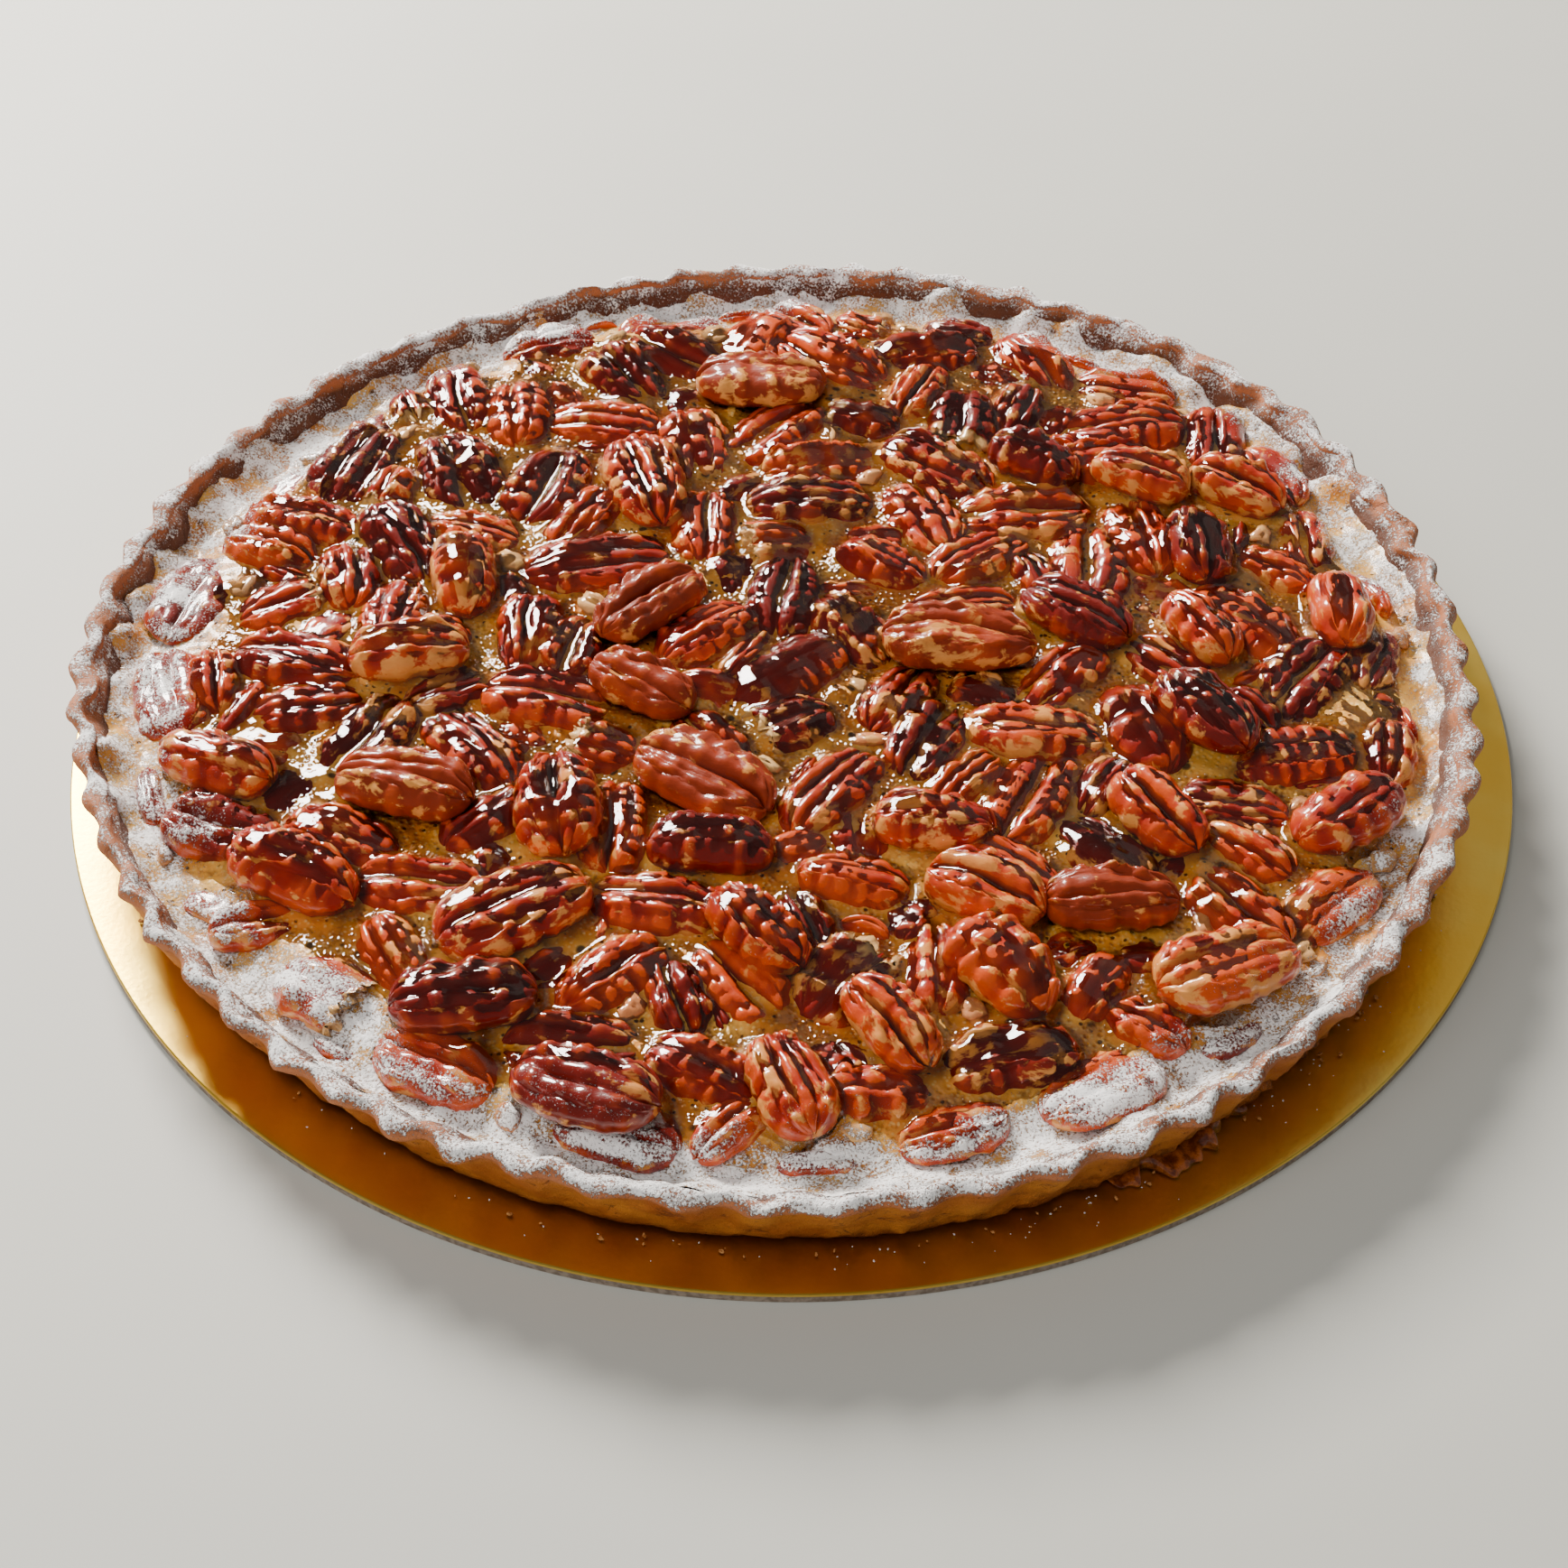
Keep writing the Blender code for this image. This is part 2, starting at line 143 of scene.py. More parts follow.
# Creases along a pecan: two bounds of the place across it, two of the depth, and the width
CREASES = {
    "face": ((-0.50, -0.60, 0.10, 0.25, 0.07), (-0.05, 0.05, 0.60, 0.78, 0.15),
             (0.50, 0.60, 0.10, 0.25, 0.07)),
    "finger": ((-0.3, -0.5, 0.05, 0.25, 0.12), (0.25, 0.5, 0.1, 0.3, 0.12)),
    "slab": ((-0.4, -0.6, 0.04, 0.12, 0.10), (0.1, 0.4, 0.06, 0.16, 0.10)),
    "ribbed": ((-0.58, -0.72, 0.04, 0.16, 0.07), (-0.18, -0.38, 0.26, 0.46, 0.09),
               (0.18, 0.38, 0.26, 0.46, 0.09), (0.58, 0.72, 0.04, 0.16, 0.07)),
    "split": ((-0.60, -0.74, 0.03, 0.14, 0.07), (-0.32, -0.50, 0.06, 0.22, 0.08),
              (-0.12, 0.12, 0.34, 0.54, 0.11), (0.32, 0.50, 0.06, 0.22, 0.08)),
    "plain": ((-0.30, -0.50, 0.05, 0.20, 0.09), (-0.15, 0.15, 0.10, 0.30, 0.10),
              (0.45, 0.65, 0.04, 0.16, 0.08)),
}

# What fills the gaps: look, width as a share of length, shortest, longest, closeness, tries
FILLERS = (
    ("slab", 0.66, 13, 19, 0.66, 2500), ("finger", 0.30, 15, 22, 0.72, 4000),
    ("finger", 0.30, 9, 15, 0.80, 2500), ("chip", 0.75, 5, 8, 0.84, 3000),
)
FILLER_RADIUS = 133

# Fineness of the meshes
PECAN_RINGS = 38
PECAN_SIDES = 36
SUNK_RINGS = 32
SUNK_SIDES = 31
FILLER_RINGS = 22
FILLER_SIDES = 18
UNDER_SIDES = 6
FILLING_CELLS = 230
GLAZE_CELLS = 300
STEPS_PER_FLUTE = 15
CARD_STEPS = 288
MAP_REACH = 0.1455
HEIGHT_CELL = 0.0005

# Filling, glaze and sugar
FILLING_RISE = 0.0038
GLAZE_RADIUS = 0.1275
GLAZE_BLUR = 0.0009
GLAZE_FILM = 0.00022
SUGAR_BLUR = 0.0012
SUGAR_DRIFT = 0.0006

# What holds the sugar: a share, and the slopes from which it starts to lie and lies fully
HELD_BY_NUTS = (0.94, (0.05, 0.88))
HELD_BY_DUSTED = (0.75, (0.30, 0.95))
HELD_BY_TOPS = (0.22, (0.30, 0.95))
HELD_BY_FILLING = (1.0, (0.12, 0.80))
RIM_SLOPES = (-0.05, 0.85)


def smoothstep(low, high, value):
    """Rises smoothly from 0 at low to 1 at high."""
    t = np.clip((value - low) / (high - low), 0.0, 1.0)
    return t * t * (3 - 2 * t)


def bump(value, width):
    """A smooth hump of height 1 at 0."""
    return np.exp(-(value / width) ** 2)


def towards(angle, degrees, sharpness):
    """A hump round the tart: 1 at an angle in degrees, narrower when sharper."""
    return np.exp(sharpness * (np.cos(angle - math.radians(degrees)) - 1))


class Ripple:
    """Smooth noise between about -1 and 1: waves in seeded directions, added up."""

    def __init__(self, seed, wavelength, waves=14):
        draw = np.random.default_rng(seed)
        direction = draw.normal(size=(waves, 3))
        direction /= np.linalg.norm(direction, axis=1)[:, None]
        length = wavelength * draw.uniform(0.7, 1.6, waves)
        self.wave = direction * (math.tau / length)[:, None]
        self.phase = draw.uniform(0, math.tau, waves)
        self.gain = 1.5 / math.sqrt(waves)

    def __call__(self, points):
        total = np.zeros(len(points))
        for wave, phase in zip(self.wave, self.phase):
            total += np.sin(points @ wave + phase)
        return total * self.gain


class Shape:
    """Points, faces of three or four corners, and values at each point, or one for all of them."""

    def __init__(self, points, faces, **values):
        self.points = np.asarray(points, float)
        self.faces = [tuple(face) for face in faces]
        every = np.ones(len(self.points))
        self.values = {name: np.asarray(value, float) if np.ndim(value) else every * value
                       for name, value in values.items()}

    def moved(self, matrix):
        """The shape turned and moved by a 4 by 4 matrix, with its values."""
        place = np.array(matrix)
        return Shape(self.points @ place[:3, :3].T + place[:3, 3], self.faces, **self.values)


def joined(shapes):
    """One shape of many."""
    faces, count = [], 0
    for shape in shapes:
        faces.extend(tuple(corner + count for corner in face) for face in shape.faces)
        count += len(shape.points)
    names = shapes[0].values
    values = {name: np.concatenate([shape.values[name] for shape in shapes]) for name in names}
    return Shape(np.concatenate([shape.points for shape in shapes]), faces, **values)


def as_points(x, y, z):
    """Points from three arrays of the same form."""
    return np.stack([x, y, z], -1).reshape(-1, 3)


def grid_faces(rows, columns, around):
    """Quads between rows of points; around closes each row on itself."""
    last = columns if around else columns - 1
    corners = np.arange(rows * columns).reshape(rows, columns)
    following = np.roll(corners, -1, axis=1)
    quads = np.stack([corners[:-1], following[:-1], following[1:], corners[1:]], -1)[:, :last]
    return quads.reshape(-1, 4).tolist()


def turned_over(faces):
    """The same faces, looking the other way."""
    return [face[::-1] for face in faces]


def closed_faces(rows, around):
    """Quads round rows of points, closed by fans to the two end points that follow the rows."""
    faces = grid_faces(rows, around, True)
    first_end, last_row = rows * around, (rows - 1) * around
    for side in range(around):
        following = (side + 1) % around
        faces.append((following, side, first_end))
        faces.append((last_row + side, last_row + following, first_end + 1))
    return faces


def disc(cells):
    """x and y of a round unit grid, and its faces, looking up."""
    line = np.linspace(-1, 1, cells + 1)
    a, b = np.meshgrid(line, line, indexing="ij")
    x, y = a * np.sqrt(1 - b ** 2 / 2), b * np.sqrt(1 - a ** 2 / 2)
    return x, y, turned_over(grid_faces(cells + 1, cells + 1, False))


def placed(name, data):
    """A new object in the scene."""
    thing = bpy.data.objects.new(name, data)
    bpy.context.scene.collection.objects.link(thing)
    return thing


def build(name, shape, material, replaced=()):
    """Makes the shape an object in its place in the frame, with its finish and what it stands for."""
    mesh = bpy.data.meshes.new(name)
    mesh.from_pydata((shape.points + (*TART_CENTRE, TART_BASE)).tolist(), [], shape.faces)
    for value_name, value in shape.values.items():
        kind = "FLOAT_VECTOR" if value.ndim == 2 else "FLOAT"
        layer = mesh.attributes.new(value_name, kind, "POINT")
        layer.data.foreach_set("vector" if value.ndim == 2 else "value", value.astype(np.float32).ravel())
    mesh.materials.append(material)
    mesh.shade_smooth()
    piece = placed(name, mesh)
    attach(piece, "root")
    if replaced:
        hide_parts(*replaced)


# Form of the case and the filling

def slump(angle):
    """How far the case has spread outwards at this angle."""
    return SLUMP * np.cos(3 * (angle - SLUMP_ANGLE))


def waves(angle, seed, counts=(2, 3, 5, 9, 14)):
    """The same uneven line round the tart as the solids have."""
    draw = random.Random(seed)
    total = sum(np.sin(n * angle + draw.uniform(0, math.tau)) / math.sqrt(n) for n in counts)
    return total / (0.55 * sum(1 / math.sqrt(n) for n in counts))


def case_inner_radius(height):
    """Radius of the case's inner wall."""
    floor_radius = FOOT_RADIUS - 0.0030
    lean = (RIM_RADIUS - RIM_THICKNESS - floor_radius) / (RIM_HEIGHT - CASE_FLOOR)
    return floor_radius + lean * (height - CASE_FLOOR)


def case_outer_radius(height):
    """Radius of the case's outer wall, half way between the flutes' tips and hollows."""
    return FOOT_RADIUS + (RIM_RADIUS - FOOT_RADIUS) * height / RIM_HEIGHT


def filling_top(radius):
    """Height of the filling's own surface."""
    return FILLING_EDGE_HEIGHT + FILLING_DOME * (1 - (radius / case_inner_radius(FILLING_EDGE_HEIGHT)) ** 2)


def sheet_top(radius):
    """Height of the filling that has risen between the pecans, which falls away towards the wall."""
    return filling_top(radius) + FILLING_RISE * (1 - 0.80 * smoothstep(0.119, 0.1345, radius))


# Where the pecans lie

def spine(x, y, heading, length, share=PECAN_WIDTH):
    """Points along the middle of a pecan, in mm; share is its width by its length."""
    half = (length - share * length) / 2
    reach = np.linspace(-half, half, SPINE_POINTS)
    turn = math.radians(heading)
    return np.stack([x + reach * math.cos(turn), y + reach * math.sin(turn)], 1)


def room_for(candidate, others, closeness):
    """Whether a pecan keeps its distance from others, as a share of what just touching needs."""
    x, y, _, length = candidate
    near = [other for other in others
            if math.hypot(x - other[0], y - other[1]) < (length + other[3]) / 2]
    if not near:
        return True
    own = spine(*candidate)
    spines = np.concatenate([spine(*other) for other in near])
    needed = np.repeat([PECAN_WIDTH * (length + other[3]) / 2 for other in near], SPINE_POINTS)
    apart = np.hypot(*(own[:, None, :] - spines[None, :, :]).transpose(2, 0, 1))
    return bool((apart >= closeness * needed[None, :]).all())


def baked_in_pecans():
    """The same seeded layout of baked-in pecans as the solids have."""
    draw = random.Random(SEED)
    sunk = list(SUNK_PECANS)
    for shortest, longest, tries in SCATTER_SIZES:
        for _ in range(tries):
            length = draw.uniform(shortest, longest)
            angle = draw.uniform(0, math.tau)
            wall = case_inner_radius(FILLING_EDGE_HEIGHT) + SLUMP * math.cos(3 * (angle - SLUMP_ANGLE))
            room = (wall - WALL_CLEARANCE) / MM - PECAN_WIDTH * length / 2
            radius = room * math.sqrt(draw.random())
            heading = draw.uniform(0, 180)
            candidate = (radius * math.cos(angle), radius * math.sin(angle), heading, length)
            ends = spine(*candidate)[[0, -1]]
            if np.hypot(*ends.T).max() > room:
                continue
            if room_for(candidate, sunk, CLOSENESS_SUNK) and room_for(candidate, TOP_PECANS, CLOSENESS_TOP):
                sunk.append(candidate)
    return sunk


# Form of a pecan half

def crease(distance, width):
    """A crease with a sharp bottom and rounded banks: 1 at its bottom, falling to 0 beside it."""
    return np.exp((0.02 - np.sqrt(distance ** 2 + 0.0004)) / width)


def form_of(look, draw):
    """Width as a share of length, squareness across, and the creases: place, depth and width."""
    def drawn(kind):
        return [(draw.uniform(left, right), draw.uniform(least, most), width)
                for left, right, least, most, width in CREASES[kind]]

    if look in CREASES:
        return draw.uniform(*WIDTHS[look]), SQUARENESS[look], drawn(look)
    chance = draw.random()
    creases = drawn("ribbed" if chance < 0.40 else "split" if chance < 0.75 else "plain")
    return draw.uniform(*WIDTHS["back"]), SQUARENESS["back"], creases


def across_places(places, count):
    """Places from one side of a pecan to the other, closest together at its creases."""
    fine = np.linspace(-1, 1, 601)
    density = 1 + 1.2 * np.abs(fine) ** 6
    for place in places:
        density += 2.2 * bump(fine - place, 0.07)
    total = np.cumsum(density)
    return np.interp(np.linspace(total[0], total[-1], count), total, fine)[::-1]


def by_lobe(values, places, across):
    """A value for each lobe, changing quickly at the creases between them."""
    total = np.full(across.shape, values[0])
    for place, low, high in zip(places, values, values[1:]):
        total = total + (high - low) * smoothstep(place - 0.05, place + 0.05, across)
    return total


def pecan_shape(length, height, belly, look, seed, rings, sides, tone=None, tan=None):
    """A piece of pecan along X: back up, flat face up, broken, a single finger or a flat slab."""
    draw = random.Random(seed)
    slide = np.array([draw.uniform(-1, 1) for _ in range(3)])
    share, squareness, creases = form_of(look, draw)
    places = [place for place, _, _ in creases]
    top_places = across_places(places, sides)
    u = -np.cos(np.linspace(0, math.pi, rings + 2))[1:-1]
    u = 0.8 * u + 0.2 * np.linspace(u[0], u[-1], rings)
    under_places = -np.cos(np.linspace(0, math.pi, UNDER_SIDES + 2))[1:-1]
    along, across = np.meshgrid(u, np.concatenate([top_places, under_places]), indexing="ij")
    on_top = np.arange(sides + UNDER_SIDES) < sides
    on_top = on_top[None, :] & np.ones(along.shape, bool)
    x = along * length / 2
    flat = as_points(x, across * 0.0008, 0 * x)

    def ripple(number, wavelength, shift=0 * x):
        slid = flat + as_points(shift, 0 * x, 0 * x)
        return Ripple(seed + number, wavelength)(slid).reshape(along.shape)

    gain, shift, pull, far_pull = (
        by_lobe([draw.uniform(low, high) for _ in range(len(creases) + 1)], places, across)
        for low, high in ((0.88, 1.06), (-0.006, 0.006), (0.0, 0.07), (0.0, 0.09)))
    knobs = ripple(2, 0.0034, shift)
    cut = np.zeros(along.shape)
    shade = np.zeros(along.shape)
    for number, (place, depth, width) in enumerate(creases):
        strength = 1 + (0.6 if depth < 0.25 else 0.3) * ripple(11 + number, 0.015)
        wander = 0.035 * ripple(15 + number, 0.014)
        line = crease(across - place - wander, width) * np.clip(strength, 0.05, 1.5)
        cut += depth * line
        shade += min(0.95, depth * 1.7) * line
    cut = np.minimum(cut, 0.85)
    lean = draw.uniform(-0.05, 0.14)
    swell = np.maximum(1 - np.abs(along) ** 3.1, 0) ** 0.52 * (1 - lean * along)
    round_top = (1 - np.abs(across) ** squareness) ** 0.5
    lateral = 0.035 + 0.06 * smoothstep(0.2, 0.7, np.abs(across))
    top = height * gain * swell ** 0.8 * round_top * (1 - cut) * (1 + lateral * knobs)
    bottom = -belly * swell * (1 - np.abs(across) ** 3) ** 0.5
    drift = 0.05 * ripple(0, 0.026)
    bend = draw.uniform(-0.9, 0.9) * MM * (2.0 if look == "finger" else 1.0)
    y = share * length / 2 * swell * (across + drift * (1 - across ** 2)) * (1 + 0.025 * knobs)
    y = y + bend * (1 - along ** 2)
    shorter = np.where(along > 0, far_pull, pull) + 0.05 * np.minimum(shade, 1)
    x = x * (1 - shorter * np.abs(along) ** 5)
    z = np.where(on_top, top, bottom) + 0.0005 * (0.5 - along ** 2)
    points = as_points(x, y, z)
    tip = 0.94 * length / 2
    points = np.concatenate([points, [[-tip, 0, 0.06 * height], [tip, 0, 0.06 * height]]])
    # Painted shade: the creases' colour is darkened by their depth, where their shadow falls.
    crease_shade = np.append((np.clip(shade, 0, 1) * on_top).ravel(), [0.5, 0.5])
    outer = np.maximum(np.abs(across) ** 5, np.abs(along) ** 7)
    ridge = np.append(np.clip(0.35 * knobs + 0.30 + 0.55 * outer, 0, 1).ravel(), [0.8, 0.8])
    broken = np.zeros(len(points))
    if look == "broken":
        limit = length * draw.uniform(0.0, 0.26)
        rough = limit + 0.0008 * Ripple(seed + 3, 0.0035)(points) + 0.0004 * Ripple(seed + 4, 0.0013)(points)
        beyond = points[:, 0] > rough
        broken = beyond.astype(float)
        points[:, 0] = np.where(beyond, rough + 0.04 * (points[:, 0] - rough), points[:, 0])
        points[:, 0] -= (limit - length / 2) / 2
        crease_shade = crease_shade * (1 - broken)
    points += 0.00008 * Ripple(seed + 5, 0.0032)(points)[:, None] * np.array([0.2, 1, 1])
    points += 0.00003 * Ripple(seed + 6, 0.0012)(points)[:, None] * np.array([0.2, 1, 1])

    tone = draw.random() if tone is None else tone
    tan = draw.random() ** 1.5 if tan is None else tan
    return Shape(points, closed_faces(rings, sides + UNDER_SIDES), crease_shade=crease_shade, ridge=ridge, broken=broken,
                 grain=points * (0.55, 1, 1) + slide, tone=tone, tan=tan)


def chip_shape(size, seed):
    """A small broken bit: an uneven lump, pale where it broke."""
    draw = random.Random(seed)
    rows, columns = 9, 12
    theta, phi = np.meshgrid(np.linspace(0, math.pi, rows + 2)[1:-1], np.arange(columns) / columns * math.tau,
                             indexing="ij")
    points = as_points(np.sin(theta) * np.cos(phi), np.sin(theta) * np.sin(phi), np.cos(theta))
    points = np.concatenate([points, [[0, 0, 1], [0, 0, -1]]])
    points = points * (1 + 0.16 * Ripple(seed, 1.5)(points) + 0.08 * Ripple(seed + 1, 0.7)(points))[:, None]
    points *= (0.5 * size, 0.5 * size * draw.uniform(0.55, 0.8), 0.5 * size * draw.uniform(0.4, 0.6))
    faces = turned_over(closed_faces(rows, columns))
    slide = np.array([draw.uniform(-1, 1) for _ in range(3)])
    pale = draw.uniform(0.4, 1.0)
    return Shape(points, faces, crease_shade=0, ridge=0.5, broken=pale, grain=points + slide, tone=draw.random(),
                 tan=draw.uniform(0.3, 1))


def laid(shape, x, y, level, heading, roll, pitch):
    """The shape turned and set down; x, y in mm, heading in degrees."""
    turn = Euler((roll, pitch, math.radians(heading))).to_matrix().to_4x4()
    return shape.moved(Matrix.Translation((x * MM, y * MM, level)) @ turn)


def sunk_shapes(places):
    """Every baked-in pecan in its place, by look."""
    lie = random.Random(SEED + 5)
    choose = random.Random(SEED + 20)
    groups = {"back": [], "face": [], "broken": []}
    for index, (x, y, heading, length) in enumerate(places):
        radius = math.hypot(x, y) * MM
        border = 1 - BORDER_LOWERING * float(smoothstep(BORDER_START, BED_RADIUS, radius))
        height = PECAN_HEIGHT * border * lie.uniform(0.85, 1.1) * min(0.6 + 0.4 * length / WHOLE_LENGTH, 1)
        roll, pitch = lie.uniform(-SUNK_ROLL, SUNK_ROLL), lie.uniform(-SUNK_PITCH, SUNK_PITCH)
        level = filling_top(radius) + BED_UNDERSIDE + SUNK_SHARE * BED_THICKNESS
        chance = choose.random()
        small = length < 21 and index >= len(SUNK_PECANS)
        look = "back"
        if chance > (0.55 if small else 0.86):
            look = "broken"
        elif chance > (0.40 if small else 0.66):
            look = "face"
        shape = pecan_shape(length * MM, height, SUNK_BELLY, look, SEED * 1000 + index * 20, SUNK_RINGS,
                            SUNK_SIDES)
        turned = choose.random() > 0.5
        groups[look].append(laid(shape, x, y, level, heading + 180 * turned, roll * (1 - 2 * turned),
                                 pitch * (1 - 2 * turned)))
    return groups


def filler_shapes(places):
    """Single fingers, slabs and broken bits that fill the gaps between the pecans, by look."""
    draw = random.Random(SEED + 30)
    middles = np.concatenate([spine(*pecan) for pecan in places])
    reach = np.repeat([PECAN_WIDTH * pecan[3] / 2 for pecan in places], SPINE_POINTS)
    groups = {"finger": [], "slab": [], "chip": []}
    for look, share, shortest, longest, closeness, tries in FILLERS:
        for _ in range(tries):
            length = draw.uniform(shortest, longest)
            angle = draw.uniform(0, math.tau)
            radius = FILLER_RADIUS * math.sqrt(draw.random())
            heading = draw.uniform(0, 180)
            x, y = radius * math.cos(angle), radius * math.sin(angle)
            by_wall = float(smoothstep(112, 128, radius))
            if by_wall > 0.5:
                heading = math.degrees(angle) + 90 + draw.uniform(-35, 35)
            own = spine(x, y, heading, length, share)
            apart = np.hypot(*(own[:, None, :] - middles[None, :, :]).transpose(2, 0, 1))
            if (apart < closeness * (reach + share * length / 2)[None, :]).any():
                continue
            if (np.hypot(*own.T) + share * length / 2).max() > FILLER_RADIUS:
                continue
            middles = np.concatenate([middles, own])
            reach = np.append(reach, np.full(SPINE_POINTS, share * length / 2))
            level = filling_top(radius * MM) + BED_UNDERSIDE + draw.uniform(0.3, 0.9) * BED_THICKNESS
            level -= 0.0008 * by_wall
            seed = SEED * 7000 + len(reach) * 3
            if look == "chip":
                shape = chip_shape(length * MM, seed)
                level = sheet_top(radius * MM) + draw.uniform(0.1, 0.6) * MM
            else:
                height = draw.uniform(3.0, 4.6) * MM * (0.75 if look == "slab" else 1.0) * (1 - 0.3 * by_wall)
                shape = pecan_shape(length * MM, height, FILLER_BELLY, look, seed, FILLER_RINGS, FILLER_SIDES)
            roll, pitch = draw.uniform(-0.3, 0.3), draw.uniform(-0.12, 0.12)
            groups[look].append(laid(shape, x, y, level, heading, roll, pitch))
    return groups


def lying(node):
    """Where a loose pecan's solid lies: a matrix in the tart's own frame, and its length."""
    points = np.array([vertex.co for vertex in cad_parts[node].data.vertices])
    points -= (*TART_CENTRE, TART_BASE)
    centred = points - points.mean(0)
    axes = np.linalg.svd(centred, full_matrices=False)[2]
    reach = centred @ axes[0]
    tips = points[[reach.argmin(), reach.argmax()]]
    forward = tips[1] - tips[0]
    length = float(np.linalg.norm(forward))
    forward /= length
    up = axes[2] * np.sign(axes[2][2])
    side = np.cross(up, forward)
    side /= np.linalg.norm(side)
    up = np.cross(forward, side)
    middle = tips.mean(0) - up * TIP_HEIGHT * PECAN_HEIGHT
    return Matrix([*zip(forward, side, up, middle), (0, 0, 0, 1)]), length


def top_shapes():
    """Every loose pecan half in its place, by node."""
    shapes = {}
    for number in range(1, len(TOP_PECANS) + 1):
        node = f"pecan_{number:02d}"
        place, length = lying(node)
        look = "face" if number in FACE_UP else "slab" if number in SLABS else "back"
        tone = 0.45 + 0.05 * (number % 8)
        tone = DARK_TONE if number in DARK else PROUD_TONE if number in PROUD else tone
        tan = 0.9 if number in TANNED else 0.05 if number in DARK else 0.35
        shape = pecan_shape(length, PECAN_HEIGHT, LOOSE_BELLY, look, SEED * 3000 + number * 20,
                            PECAN_RINGS, PECAN_SIDES, tone, tan)
        shapes[node] = shape.moved(place)
    return shapes


# Surface of the whole top, seen from above

class HeightMap:
    """Heights above the tart's base on a square grid, and the same after smoothing."""

    def __init__(self, heights, reach, cell):
        self.heights, self.reach, self.cell = heights, reach, cell

    def at(self, points):
        """Heights over points, between the nearest cells."""
        place = np.clip((points[:, :2] + self.reach) / self.cell, 0, self.heights.shape[0] - 1.001)
        low = place.astype(int)
        part = place - low
        i, j = low.T
        a, b = part.T
        h = self.heights
        return ((h[i, j] * (1 - a) + h[i + 1, j] * a) * (1 - b)
                + (h[i, j + 1] * (1 - a) + h[i + 1, j + 1] * a) * b)

    def blurred(self, width):
        """The map smoothed over a width."""
        spread = width / self.cell
        reach = int(math.ceil(spread * 2.5))
        weights = np.exp(-0.5 * (np.arange(-reach, reach + 1) / spread) ** 2)
        weights /= weights.sum()
        smooth = self.heights
        for axis in (0, 1):
            padded = np.pad(smooth, [(reach, reach) if a == axis else (0, 0) for a in (0, 1)], mode="edge")
            smooth = sum(w * np.take(padded, range(k, k + self.heights.shape[axis]), axis)
                         for k, w in enumerate(weights))
        return HeightMap(smooth, self.reach, self.cell)


def map_heights(shapes):
    """Looks straight down on the shapes from above."""
    whole = joined([Shape(shape.points, shape.faces) for shape in shapes])
    tree = BVHTree.FromPolygons(whole.points.tolist(), whole.faces)
    line = np.linspace(-MAP_REACH, MAP_REACH, int(round(2 * MAP_REACH / HEIGHT_CELL)) + 1)
    heights = np.zeros((len(line), len(line)))
    down = Vector((0, 0, -1))
    for i, x in enumerate(line):
        for j, y in enumerate(line):
            if x * x + y * y < MAP_REACH ** 2:
                hit = tree.ray_cast(Vector((x, y, 0.1)), down)[0]
                if hit:
                    heights[i, j] = hit.z
    return HeightMap(heights, MAP_REACH, HEIGHT_CELL)


def sugar_amount(points, hold):
    """How thickly the icing sugar lies, 0 to 1: a ring along the rim, heavier on the left and in front."""
    angle = np.arctan2(points[:, 1], points[:, 0])
    radius = np.hypot(points[:, 0], points[:, 1])
    flat = points * (1, 1, 0)
    edge = 0.1245 + 0.0022 * Ripple(71, 0.045)(flat) + 0.0014 * Ripple(72, 0.013)(flat)
    edge += 0.0015 * towards(angle, 20, 3) - 0.0070 * towards(angle, 188, 3) - 0.0006 * towards(angle, -92, 4)
    heavy = 0.90 + 0.15 * np.cos(2 * angle + math.pi) - 0.04 * np.cos(angle) + 0.18 * Ripple(73, 0.008)(flat)
    heavy += 0.18 * towards(angle, -97, 3) - 0.05 * towards(angle, 195, 3)
    ring = smoothstep(-0.002, 0.008, radius - edge) * heavy
    stray = 0.07 * smoothstep(-0.012, 0.0, radius - edge)
    return np.clip(np.maximum(ring, stray) * hold, 0, 1.1)


def normals_of(shape):
    """Normals at the points of a shape."""
    points = shape.points
    normals = np.zeros_like(points)
    faces = np.array([face if len(face) == 4 else (*face, face[2]) for face in shape.faces])
    corner = points[faces]
    face_normal = np.cross(corner[:, 2] - corner[:, 0], corner[:, 3] - corner[:, 1])
    for k in range(4):
        np.add.at(normals, faces[:, k], face_normal)
    length = np.linalg.norm(normals, axis=1)
    return normals / np.maximum(length, 1e-12)[:, None]


def glaze_surface(seen):
    """Height of the clear glaze, smooth between and over the pecans; it ends where the sugar lies thick."""
    level = seen.blurred(GLAZE_BLUR)
    line = np.linspace(-level.reach, level.reach, level.heights.shape[0])
    x, y = np.meshgrid(line, line, indexing="ij")
    grid = as_points(x, y, 0 * x)
    film = GLAZE_FILM * (1 + 0.4 * Ripple(61, 0.03)(grid))
    sunk = 0.004 * smoothstep(0.15, 0.45, sugar_amount(grid, 1.0))
    level.heights = level.heights + (film - sunk).reshape(x.shape)
    return level


def glaze_shape(level):
    """The glaze's skin as an even disc of quads."""
    x, y, faces = disc(GLAZE_CELLS)
    points = as_points(x, y, 0 * x) * GLAZE_RADIUS
    points[:, 2] = level.at(points)
    over = points[:, 2] - sheet_top(np.hypot(points[:, 0], points[:, 1]))
    return Shape(points, faces, frothy=1 - smoothstep(0.0004, 0.0010, over))


